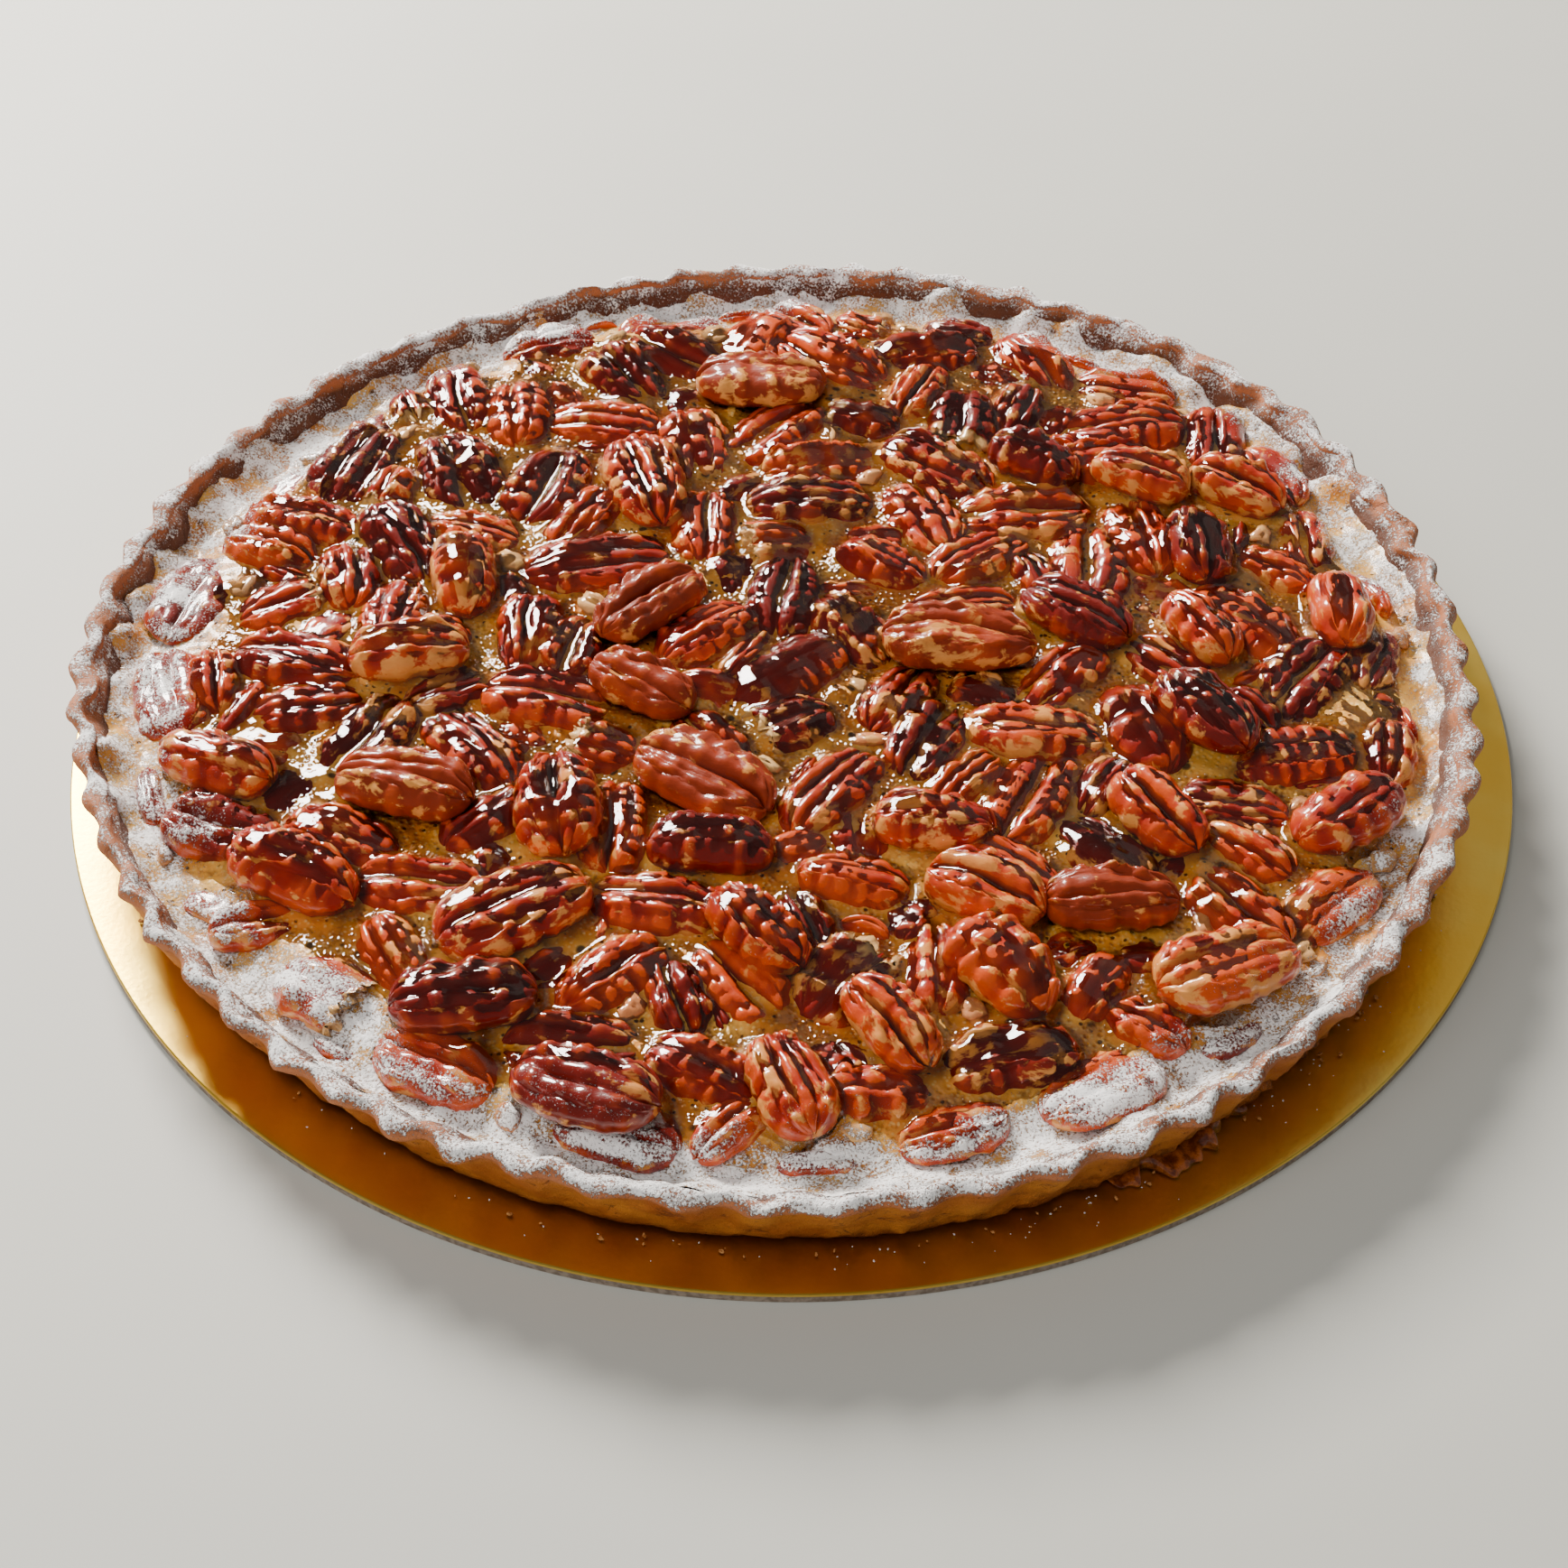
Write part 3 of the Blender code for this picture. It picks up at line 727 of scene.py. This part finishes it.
def dress(shape, seen, drift, glaze, held, slopes):
    """Gives a shape the sugar that it holds, which softens it a little, and what lies under the glaze."""
    normals = normals_of(shape)
    shows = smoothstep(-0.0012, -0.0002, shape.points[:, 2] - seen.at(shape.points))
    sugar = sugar_amount(shape.points, held * smoothstep(*slopes, normals[:, 2]))
    rise = np.clip(drift.at(shape.points) - shape.points[:, 2], 0, SUGAR_DRIFT * smoothstep(0.3, 0.9, sugar))
    shape.points[:, 2] += rise * shows * smoothstep(0.0, 0.4, normals[:, 2])
    shape.values["sugar"] = sugar
    shape.values["under"] = smoothstep(-0.00005, 0.00020, glaze.at(shape.points) - shape.points[:, 2])


# The other shapes

def filling_shape(nuts):
    """The filling's top as an even disc of quads, drawn up a little where it meets the pecans."""
    x, y, faces = disc(FILLING_CELLS)
    edge = case_inner_radius(0.0165) + 0.0013 + slump(np.arctan2(y, x))
    points = as_points(x * edge, y * edge, 0 * x)
    away = np.hypot(points[:, 0], points[:, 1])
    swelling = 0.00035 * Ripple(30, 0.016)(points) + 0.00020 * Ripple(31, 0.006)(points)
    swelling += 0.00010 * Ripple(32, 0.0024)(points)
    level = sheet_top(away) + swelling
    drawn = np.clip(nuts.blurred(0.0020).at(points) - level, 0, 0.0016)
    uneven = 1 + 0.35 * Ripple(33, 0.012)(points)
    climb = 0.0034 * smoothstep(0.1300, 0.1385, away) ** 1.5 * uneven
    points[:, 2] = level + 0.45 * drawn * smoothstep(0.1345, 0.128, away) + climb
    return Shape(points, faces)


def crust_shape():
    """The pastry case: fluted outside, rounded at the rim, rough at the foot, flat under the filling."""
    inner = [(case_inner_radius(h), h) for h in np.linspace(BURIED_HEIGHT, 0.0172, 9)]
    middle = RIM_RADIUS - 0.5 * RIM_THICKNESS
    half = 0.5 * RIM_THICKNESS
    rim = [(middle - half * math.cos(t), 0.0178 + 0.0025 * math.sin(t) ** 0.8)
           for t in np.linspace(0.12, math.pi - 0.12, 13)]
    outer = [(case_outer_radius(h), h) for h in np.linspace(0.0168, 0.0022, 15)]
    foot = [(FOOT_RADIUS + 0.0004, 0.0010), (FOOT_RADIUS - 0.0004, 0.0002), (FOOT_RADIUS - 0.003, 0.0)]
    profile = np.array([(0.0, BURIED_HEIGHT)] + inner + rim + outer + foot + [(0.0, 0.0)])
    steps = FLUTES * STEPS_PER_FLUTE
    angle = np.arange(steps) / steps * math.tau
    radius, turn = np.meshgrid(profile[:, 0], angle, indexing="ij")
    height = np.meshgrid(profile[:, 1], angle, indexing="ij")[0]
    inside, outside = case_inner_radius(height), case_outer_radius(height)
    outwards = smoothstep(0.0, 1.0, (radius - inside) / (outside - inside))
    upwards = smoothstep(0.0, 1.0, height / RIM_HEIGHT)
    above = smoothstep(FILLING_EDGE_HEIGHT, RIM_HEIGHT, height)
    in_wall = smoothstep(0.5 * FOOT_RADIUS, 0.9 * FOOT_RADIUS, radius)
    theta = turn - FIRST_FLUTE
    shifted = FLUTES * theta + 0.45 * waves(theta, SEED + 60, (7, 11, 19, 31))
    scallop = np.cos(shifted)
    scallop = scallop * (0.84 + 0.22 * waves(theta, SEED + 61, (5, 13, 29)))
    depth = outwards * (0.18 + 0.82 * upwards) + (1 - outwards) * 0.45 * above
    moved = radius + in_wall * FLUTE_DEPTH * depth * scallop
    moved = moved + outwards * above * RIM_UNEVEN * waves(theta, SEED + 1, (4, 7, 13, 24))
    moved = moved * (1 + slump(turn) / RIM_RADIUS * in_wall)
    lifted = height + RIM_UNEVEN * above * waves(theta, SEED + 2)
    points = as_points(moved * np.cos(turn), moved * np.sin(turn), lifted)
    away = as_points(np.cos(turn), np.sin(turn), 0 * turn)
    wall = in_wall.ravel()
    on_rim = (above * in_wall).ravel()
    lumps = 0.00018 * Ripple(41, 0.009)(points) + 0.00006 * Ripple(42, 0.0030)(points)
    points += away * (lumps * wall)[:, None]
    inner_rim = on_rim * (1 - outwards.ravel())
    points += away * (inner_rim * 0.00055 * Ripple(46, 0.011)(points))[:, None]
    points[:, 2] += on_rim * (0.00034 * Ripple(43, 0.0095)(points) + 0.00008 * Ripple(44, 0.0026)(points))
    low = smoothstep(0.011, 0.004, points[:, 2] + 0.002 * Ripple(47, 0.012)(points))
    crumbly = wall * outwards.ravel() * low * (0.12 + 0.88 * towards(turn.ravel(), -24, 5))
    rough = 0.0007 * Ripple(45, 0.0036)(points) + 0.0004 * Ripple(48, 0.0016)(points)
    points += away * (crumbly * rough)[:, None]
    below_rim = smoothstep(0.0192, 0.0165, points[:, 2])
    # The inner wall below the rim, which the finish colours darker.
    inner_wall = smoothstep(0.1, 0.8, (1 - outwards.ravel()) * below_rim * wall)
    return Shape(points, turned_over(grid_faces(len(profile), steps, True)), crumbly=crumbly, inner_wall=inner_wall)


def card_shape():
    """The card: foil turned over a rounded edge, with a band of bare board below it."""
    top, bottom = CARD_TOP - TART_BASE, -TART_BASE
    r = 0.0004
    edge = [(CARD_RADIUS - r + r * math.sin(t), top - r + r * math.cos(t))
            for t in np.linspace(0, math.pi / 2, 7)]
    board = [(CARD_RADIUS, top - 0.00065), (CARD_RADIUS - 0.0001, top - 0.00075),
             (CARD_RADIUS - 0.0001, bottom + 0.0002), (CARD_RADIUS - 0.0003, bottom)]
    profile = np.array([(0.0, top), (0.06, top), (0.12, top), (0.14, top), (CARD_RADIUS - 0.002, top)]
                       + edge + board + [(0.0, bottom)])
    angle = np.arange(CARD_STEPS) / CARD_STEPS * math.tau
    radius, turn = np.meshgrid(profile[:, 0], angle, indexing="ij")
    height = np.meshgrid(profile[:, 1], angle, indexing="ij")[0]
    x, y = radius * np.cos(turn) - TART_CENTRE[0], radius * np.sin(turn) - TART_CENTRE[1]
    bare = (np.arange(len(profile)) > 12)[:, None] * np.ones(CARD_STEPS)
    faces = turned_over(grid_faces(len(profile), CARD_STEPS, True))
    return Shape(as_points(x, y, height), faces, bare=bare.ravel())


# Shader maths

class Field:
    """A socket whose arithmetic adds Math nodes."""

    def __init__(self, graph, socket):
        self.graph, self.socket = graph, socket

    def _math(self, operation, *values):
        return self.graph.node("ShaderNodeMath", {"operation": operation}, dict(enumerate(values)))

    def __add__(self, other):
        return self._math("ADD", self, other)

    def __sub__(self, other):
        return self._math("SUBTRACT", self, other)

    def __rsub__(self, other):
        return self._math("SUBTRACT", other, self)

    def __mul__(self, other):
        return self._math("MULTIPLY", self, other)

    __radd__ = __add__
    __rmul__ = __mul__

    def least(self, other):
        return self._math("MINIMUM", self, other)

    def most(self, other):
        return self._math("MAXIMUM", self, other)

    def between(self, low, high):
        """Rises smoothly from 0 where this is low to 1 where it is high."""
        return self.graph.node("ShaderNodeMapRange", {"interpolation_type": "SMOOTHSTEP"},
                               {"Value": self, "From Min": low, "From Max": high})


class Graph:
    """One material and its nodes."""

    def __init__(self, name):
        self.material = bpy.data.materials.new(name)
        self.material.use_nodes = True
        self.tree = self.material.node_tree
        self.tree.nodes.clear()
        self.position = self.node("ShaderNodeTexCoord", {}, {}, "Object")

    def node(self, kind, settings, inputs, output=0):
        """Adds a node: its settings first, then the values or links of its sockets."""
        added = self.tree.nodes.new(kind)
        for name, value in settings.items():
            setattr(added, name, value)
        for name, value in inputs.items():
            if isinstance(value, Field):
                self.tree.links.new(value.socket, added.inputs[name])
            else:
                added.inputs[name].default_value = value
        return Field(self, added.outputs[output]) if added.outputs else None

    def attribute(self, name, output="Fac"):
        """A value that the points carry."""
        return self.node("ShaderNodeAttribute", {"attribute_name": name}, {}, output)

    def noise(self, size, detail=2.0, roughness=0.5, where=None, stretch=0.0):
        """Noise with features about size metres across."""
        return self.node("ShaderNodeTexNoise", {}, {
            "Vector": where or self.position, "Scale": 1 / size, "Detail": detail,
            "Roughness": roughness, "Distortion": stretch}, "Fac")

    def cells(self, size):
        """Distance within round cells about size metres across."""
        return self.node("ShaderNodeTexVoronoi", {}, {"Vector": self.position, "Scale": 1 / size}, "Distance")

    def mix(self, first, second, share):
        """A colour between two, by share."""
        return self.node("ShaderNodeMix", {"data_type": "RGBA"}, {0: share, 6: first, 7: second}, 2)

    def relief(self, height, distance):
        """A normal that follows a height, of which 1 stands for a distance."""
        return self.node("ShaderNodeBump", {}, {"Height": height, "Distance": distance, "Strength": 1.0})

    def surface(self, **inputs):
        """The Principled surface and the output; names have _ for a space."""
        named = {name.replace("_", " "): value for name, value in inputs.items()}
        shader = self.node("ShaderNodeBsdfPrincipled", {}, named)
        self.node("ShaderNodeOutputMaterial", {}, {"Surface": shader})
        return self.material


def rgb(*display):
    """A display colour of 0 to 255 as the linear colour that shaders use."""
    shares = [part / 255 for part in display]
    return (*(s / 12.92 if s <= 0.04045 else ((s + 0.055) / 1.055) ** 2.4 for s in shares), 1.0)


SUGAR_WHITE = rgb(250, 249, 248)
PECAN_DARK = rgb(108, 15, 6)
PECAN_RED = rgb(158, 28, 9)
PECAN_ORANGE = rgb(204, 76, 16)
PECAN_BROWN = rgb(150, 62, 24)
PECAN_TAN = rgb(230, 158, 76)
PECAN_MEAT = rgb(232, 190, 122)
# Painted shade for the pecans' creases
PAINTED_CREASE_SHADE = rgb(88, 17, 6)
UNDER_SUGAR = rgb(78, 26, 18)
FILLING_AMBER = rgb(228, 140, 36)
FILLING_GOLD = rgb(252, 196, 92)
FILLING_FROTH = rgb(255, 232, 160)
FILLING_BROWN = rgb(140, 62, 10)
# Painted shade for the filling's pits
PAINTED_PIT_SHADE = rgb(34, 16, 6)
PASTRY_BROWN = rgb(172, 88, 20)
PASTRY_GOLD = rgb(206, 128, 48)
PASTRY_RIM = rgb(178, 108, 68)
PASTRY_FOOT = rgb(112, 56, 20)
PASTRY_PATCH = rgb(112, 56, 18)
PASTRY_FLECK = rgb(90, 42, 14)
PASTRY_INNER_WALL = rgb(92, 54, 36)
ROUGH_DARK = rgb(86, 38, 12)
ROUGH_LIGHT = rgb(186, 104, 40)
GOLD_DEEP = rgb(248, 200, 78)
GOLD_PALE = rgb(254, 220, 108)
BOARD_LIGHT = rgb(176, 158, 142)
BOARD_DARK = rgb(136, 120, 106)


def sugared(graph, colour, roughness, gloss, height, distance, shade=0.6):
    """Dusts a surface with grains of icing sugar, by the amount that its points carry."""
    amount = graph.attribute("sugar")
    clumps = graph.noise(0.0036, 3.0, 0.6)
    grains = graph.noise(0.00050, 3.0, 0.7)
    thick = amount + (clumps - 0.5) * amount.between(0.02, 0.30) * 1.8
    cover = (grains + thick * 0.28 - 0.715) * 8.0 + 0.5
    cover = cover.least(0.96).most(0.0) * amount.between(0.005, 0.06)
    ground = graph.mix(colour, UNDER_SUGAR, amount * shade)
    coloured = graph.mix(ground, SUGAR_WHITE, cover)
    rough = roughness * (1 - cover) + cover * 0.95
    shiny = gloss * (1 - cover)
    return coloured, rough, shiny, graph.relief(height + cover * (grains * 0.6 + clumps), distance)


def pecan_material(name, matt=0.0):
    """Glazed roasted pecan skin: deep red brown, with painted shade in the furrows, worn to tan on some
    ridges.
    """
    graph = Graph(name)
    grain = graph.attribute("grain", "Vector")
    crease_shade, tone = graph.attribute("crease_shade"), graph.attribute("tone")
    ridge, broken = graph.attribute("ridge"), graph.attribute("broken")
    tan, under = graph.attribute("tan"), graph.attribute("under")
    broad = graph.noise(0.0085, 3.0, 0.6, grain)
    fine = graph.noise(0.0014, 3.0, 0.65, grain, 0.5)
    body = graph.mix(PECAN_DARK, PECAN_RED, (broad + tone * 1.1 - 0.55).between(0.0, 0.75))
    glow = broad * 0.9 + ridge * 0.35 + tone * 0.45 - 0.62
    body = graph.mix(body, PECAN_ORANGE, glow.between(0.05, 0.50) * 0.9)
    body = graph.mix(body, PECAN_BROWN, matt * 0.9)
    patches = graph.noise(0.0036, 4.0, 0.6, grain, 0.4) + tan * 0.10 + ridge * 0.08
    worn = patches.between(0.635, 0.715) * (1 - crease_shade)
    body = graph.mix(body, PECAN_TAN, worn * (fine * 0.6 + 0.5).least(1.0))
    # Painted shade in the creases, darkest at their bottoms.
    body = graph.mix(body, PAINTED_CREASE_SHADE, crease_shade.between(0.25, 0.95) * 0.85)
    body = graph.mix(body, PECAN_MEAT, broken * (fine * 0.6 + 0.5).least(1.0))
    height = fine * 0.6 + broad * 0.3
    colour, rough, shiny, normal = sugared(graph, body, 0.36 + matt * 0.16, 1.0 - matt * 0.55 - under * 0.85,
                                           height, 0.00025)
    return graph.surface(Base_Color=colour, Roughness=rough, Coat_Weight=shiny.most(0.0), Coat_Roughness=0.04,
                         Coat_IOR=1.55 - 0.2 * matt, IOR=1.25, Normal=normal)


def filling_material():
    """Golden baked filling, full of small bubbles, with painted shade in its small pits."""
    graph = Graph("caramel_filling")
    broad = graph.noise(0.012, 3.0, 0.6)
    froth = graph.cells(0.0011)
    pits = graph.cells(0.0050)
    body = graph.mix(FILLING_AMBER, FILLING_GOLD, broad.between(0.3, 0.7))
    body = graph.mix(body, FILLING_FROTH, froth.between(0.42, 0.1) * 0.55)
    body = graph.mix(body, FILLING_BROWN, graph.noise(0.0045, 4.0, 0.65).between(0.52, 0.72) * 0.75)
    # Painted shade: near-black dots in the small pits, where their shadow falls; the bump sinks the same
    # dots.
    dark = pits.between(0.24, 0.12) * graph.noise(0.006, 1.0).between(0.45, 0.55)
    dark = dark.most(graph.cells(0.0020).between(0.26, 0.14) * graph.noise(0.004, 2.0).between(0.46, 0.56))
    body = graph.mix(body, PAINTED_PIT_SHADE, dark * 0.9)
    height = froth.between(0.6, 0.05) * 0.35 - dark * 1.2
    colour, rough, shiny, normal = sugared(graph, body, 0.40, 0.35, height, 0.0003)
    return graph.surface(Base_Color=colour, Roughness=rough, Coat_Weight=shiny, Coat_Roughness=0.08,
                         Normal=normal)


def glaze_material():
    """Clear amber glaze: seen through, with the light on its smooth skin."""
    graph = Graph("clear_glaze")
    froth = graph.cells(0.0013).between(0.55, 0.05) * graph.attribute("frothy")
    normal = graph.relief(graph.noise(0.005, 2.0, 0.5) + froth * 0.8, 0.0002)
    clear = graph.node("ShaderNodeBsdfTransparent", {}, {"Color": (1.0, 0.965, 0.87, 1.0)})
    gloss = graph.node("ShaderNodeBsdfGlossy", {}, {"Roughness": 0.05, "Normal": normal})
    share = graph.node("ShaderNodeFresnel", {}, {"IOR": 1.58, "Normal": normal})
    shader = graph.node("ShaderNodeMixShader", {}, {0: share, 1: clear, 2: gloss})
    graph.node("ShaderNodeOutputMaterial", {}, {"Surface": shader})
    return graph.material


def crust_material():
    """Baked shortcrust: golden brown, darker at the rim and foot and on the inner wall below the rim, with
    browned flecks.
    """
    graph = Graph("pastry")
    high = graph.attribute("high")
    broad = graph.noise(0.014, 4.0, 0.6)
    fine = graph.noise(0.0014, 4.0, 0.7)
    body = graph.mix(PASTRY_BROWN, PASTRY_GOLD, broad.between(0.3, 0.72))
    body = graph.mix(body, PASTRY_RIM, high.between(0.70, 0.95))
    body = graph.mix(body, PASTRY_FOOT, high.between(0.22, 0.02) * 0.65)
    patch = graph.noise(0.0050, 4.0, 0.7, None, 0.8)
    body = graph.mix(body, PASTRY_PATCH, patch.between(0.56, 0.72) * 0.75)
    body = graph.mix(body, PASTRY_FLECK, fine.between(0.60, 0.74) * 0.6)
    crumbly = graph.attribute("crumbly")
    crumb = graph.noise(0.0022, 4.0, 0.7)
    body = graph.mix(body, graph.mix(ROUGH_DARK, ROUGH_LIGHT, crumb.between(0.38, 0.6)), crumbly)
    # Darker on the inner wall below the rim.
    body = graph.mix(body, PASTRY_INNER_WALL, graph.attribute("inner_wall"))
    height = fine * 0.8 - patch.between(0.58, 0.68) * 0.5 + crumb * crumbly * 2.0
    colour, rough, _, normal = sugared(graph, body, 0.68, 0.0, height, 0.0005, 0.25)
    return graph.surface(Base_Color=colour, Roughness=rough, Normal=normal)


def plain_material(name, first, second, size, roughness, coat=0.0):
    """A lumpy finish between two colours."""
    graph = Graph(name)
    mottle = graph.noise(size, 3.0, 0.6)
    return graph.surface(Base_Color=graph.mix(first, second, mottle.between(0.35, 0.65)), Roughness=roughness,
                         Coat_Weight=coat, Normal=graph.relief(mottle, size * 0.3))


def card_material():
    """Gold foil, brushed by handling, over grey-brown board that shows at the cut edge."""
    graph = Graph("gold_foil")
    bare = graph.attribute("bare")
    smudge = graph.noise(0.03, 3.0, 0.6)
    grit = graph.noise(0.0012, 2.0)
    gold = graph.mix(GOLD_DEEP, GOLD_PALE, smudge.between(0.3, 0.7))
    board = graph.mix(BOARD_LIGHT, BOARD_DARK, grit.between(0.35, 0.65))
    rough = (smudge * 0.12 + 0.31) * (1 - bare) + bare * 0.85
    height = smudge * 0.5 + grit * 0.10
    return graph.surface(Base_Color=graph.mix(gold, board, bare), Metallic=1 - bare, Roughness=rough,
                         Normal=graph.relief(height, 0.0004))


# Stage

def add_stage():
    """Camera, pale floor and soft lights: the strongest at the back left, and a fill that isn't mirrored."""
    lens = bpy.data.cameras.new("camera")
    lens.lens = CAMERA_LENS
    lens.sensor_width = 36
    camera = placed("camera", lens)
    camera.location = CAMERA_PLACE
    camera.rotation_euler = (CAMERA_TILT, 0, 0)
    bpy.context.scene.camera = camera

    half = FLOOR_SIZE / 2
    mesh = bpy.data.meshes.new("floor")
    corners = [(-half, -half, 0), (half, -half, 0), (half, half, 0), (-half, half, 0)]
    mesh.from_pydata(corners, [], [(0, 1, 2, 3)])
    graph = Graph("floor")
    cloud = graph.noise(0.25, 4.0, 0.6)
    tint = graph.mix(rgb(184, 184, 177), rgb(200, 200, 193), cloud)
    mesh.materials.append(graph.surface(Base_Color=tint, Roughness=0.6))
    placed("floor", mesh)

    for name, place, size, power, tint in LIGHTS:
        light = bpy.data.lights.new(name, "AREA")
        light.shape = "RECTANGLE"
        light.size, light.size_y = size
        light.energy = power
        light.color = tint
        lamp = placed(name, light)
        lamp.location = place
        lamp.visible_glossy = name != "fill"
        lamp.rotation_euler = (-Vector(place)).to_track_quat("-Z", "Y").to_euler()

    world = bpy.data.worlds.new("soft_sky")
    world.use_nodes = True
    back = world.node_tree.nodes["Background"]
    back.inputs["Color"].default_value = SKY_TINT
    back.inputs["Strength"].default_value = SKY_STRENGTH
    bpy.context.scene.world = world


def leak_shape(first, last, seed):
    """Filling that leaked at the foot of the case and set on the card, between two angles in degrees."""
    steps, sides = 90, 14
    turn = np.radians(np.linspace(first, last, steps))
    fade = np.sin(np.linspace(0, math.pi, steps)) ** 0.5
    line = as_points(np.cos(turn), np.sin(turn), 0 * turn) * FOOT_RADIUS
    width = fade * (0.0026 + 0.0012 * Ripple(seed, 0.012)(line) + 0.0006 * Ripple(seed + 1, 0.004)(line))
    height = fade * (0.0019 + 0.0008 * Ripple(seed + 2, 0.009)(line) + 0.0004 * Ripple(seed + 3, 0.003)(line))
    around = np.linspace(0, math.pi, sides)
    out = np.maximum(width, 0.0002)[:, None] * (1 - np.cos(around)[None, :])
    radius = FOOT_RADIUS - 0.0012 + slump(turn)[:, None] + out
    z = 0.0001 + np.maximum(height, 0.0001)[:, None] * np.sin(around)[None, :]
    points = as_points(radius * np.cos(turn)[:, None], radius * np.sin(turn)[:, None], z)
    faces = grid_faces(steps, sides, True)
    faces.append(tuple(range(sides)))
    faces.append(tuple(reversed(range((steps - 1) * sides, steps * sides))))
    return Shape(points, faces)


def crumb_shapes():
    """Pastry crumbs and grains of sugar that fell on the card round the case."""
    draw = random.Random(SEED + 50)
    crumbs, specks = [], []
    for number in range(230):
        angle = math.radians(draw.gauss(-30, 55))
        foot = FOOT_RADIUS + FLUTE_DEPTH + float(slump(angle))
        crumb = number % 3 == 0
        size = draw.uniform(0.4, 1.3) * MM if crumb else draw.uniform(0.2, 0.5) * MM
        away = foot + size / 2 + abs(draw.gauss(0, 0.0020 if crumb else 0.0045))
        if away > CARD_RADIUS - 0.004:
            continue
        shape = chip_shape(size, 9000 + number * 3)
        place = Matrix.Translation((away * math.cos(angle), away * math.sin(angle), size * 0.22))
        shape = shape.moved(place @ Euler((0, 0, draw.uniform(0, math.tau))).to_matrix().to_4x4())
        (crumbs if crumb else specks).append(Shape(shape.points, shape.faces))
    return joined(crumbs), joined(specks)


def add_tart():
    """The tart and its card, each piece in place of its solid."""
    tops = top_shapes()
    places = baked_in_pecans()
    sunk = sunk_shapes(places)
    fillers = filler_shapes(places + list(TOP_PECANS))
    nuts = [shape for group in (*sunk.values(), *fillers.values()) for shape in group]
    filling = filling_shape(map_heights(nuts))
    crust = crust_shape()
    seen = map_heights(nuts + list(tops.values()) + [filling, crust])
    drift = seen.blurred(SUGAR_BLUR)
    low = [shape for number, shape in enumerate(tops.values(), start=1) if number not in PROUD]
    glaze = glaze_surface(map_heights(nuts + low + [filling, crust]))
    for shape in nuts:
        dress(shape, seen, drift, glaze, *HELD_BY_NUTS)
    for number, shape in enumerate(tops.values(), start=1):
        dress(shape, seen, drift, glaze, *(HELD_BY_DUSTED if number in DUSTED else HELD_BY_TOPS))
    dress(filling, seen, drift, glaze, *HELD_BY_FILLING)
    dress(crust, seen, drift, glaze, 1 - 0.35 * crust.values["inner_wall"], RIM_SLOPES)
    crust.values["high"] = crust.points[:, 2] / RIM_HEIGHT

    build("filling_top", filling, filling_material(), ["filling"])
    build("pastry_case", crust, crust_material(), ["crust"])
    build("glaze", glaze_shape(glaze), glaze_material())
    glossy = pecan_material("glazed_pecan")
    for name, shapes in (("pecans_back_up", sunk["back"]), ("pecans_face_up", sunk["face"]),
                         ("pecans_broken", sunk["broken"]),
                         ("pecan_fingers", fillers["finger"]), ("pecan_slabs", fillers["slab"]),
                         ("pecan_bits", fillers["chip"])):
        build(name, joined(shapes), glossy, ["pecan_bed"])

    loose = pecan_material("pecan_half")
    drier = pecan_material("pecan_half_drier", 0.5)
    for number, (node, shape) in enumerate(tops.items(), start=1):
        build(f"{node}_half", shape, drier if number in PROUD else loose, [node])

    build("card", card_shape(), card_material(), ["gold_card"])
    crumbs, specks = crumb_shapes()
    leaks = joined([leak_shape(-64, -50, 81), leak_shape(-36, -8, 86)])
    crumb = plain_material("crumb", rgb(150, 88, 38), rgb(206, 150, 90), 0.0006, 0.8)
    speck = plain_material("speck", rgb(226, 226, 230), rgb(244, 244, 246), 0.0003, 0.9)
    leak = plain_material("leak", rgb(96, 36, 8), rgb(170, 90, 30), 0.002, 0.3, 1.0)
    build("crumbs", crumbs, crumb)
    build("sugar_specks", specks, speck)
    build("leaked_filling", leaks, leak)


add_stage()
add_tart()
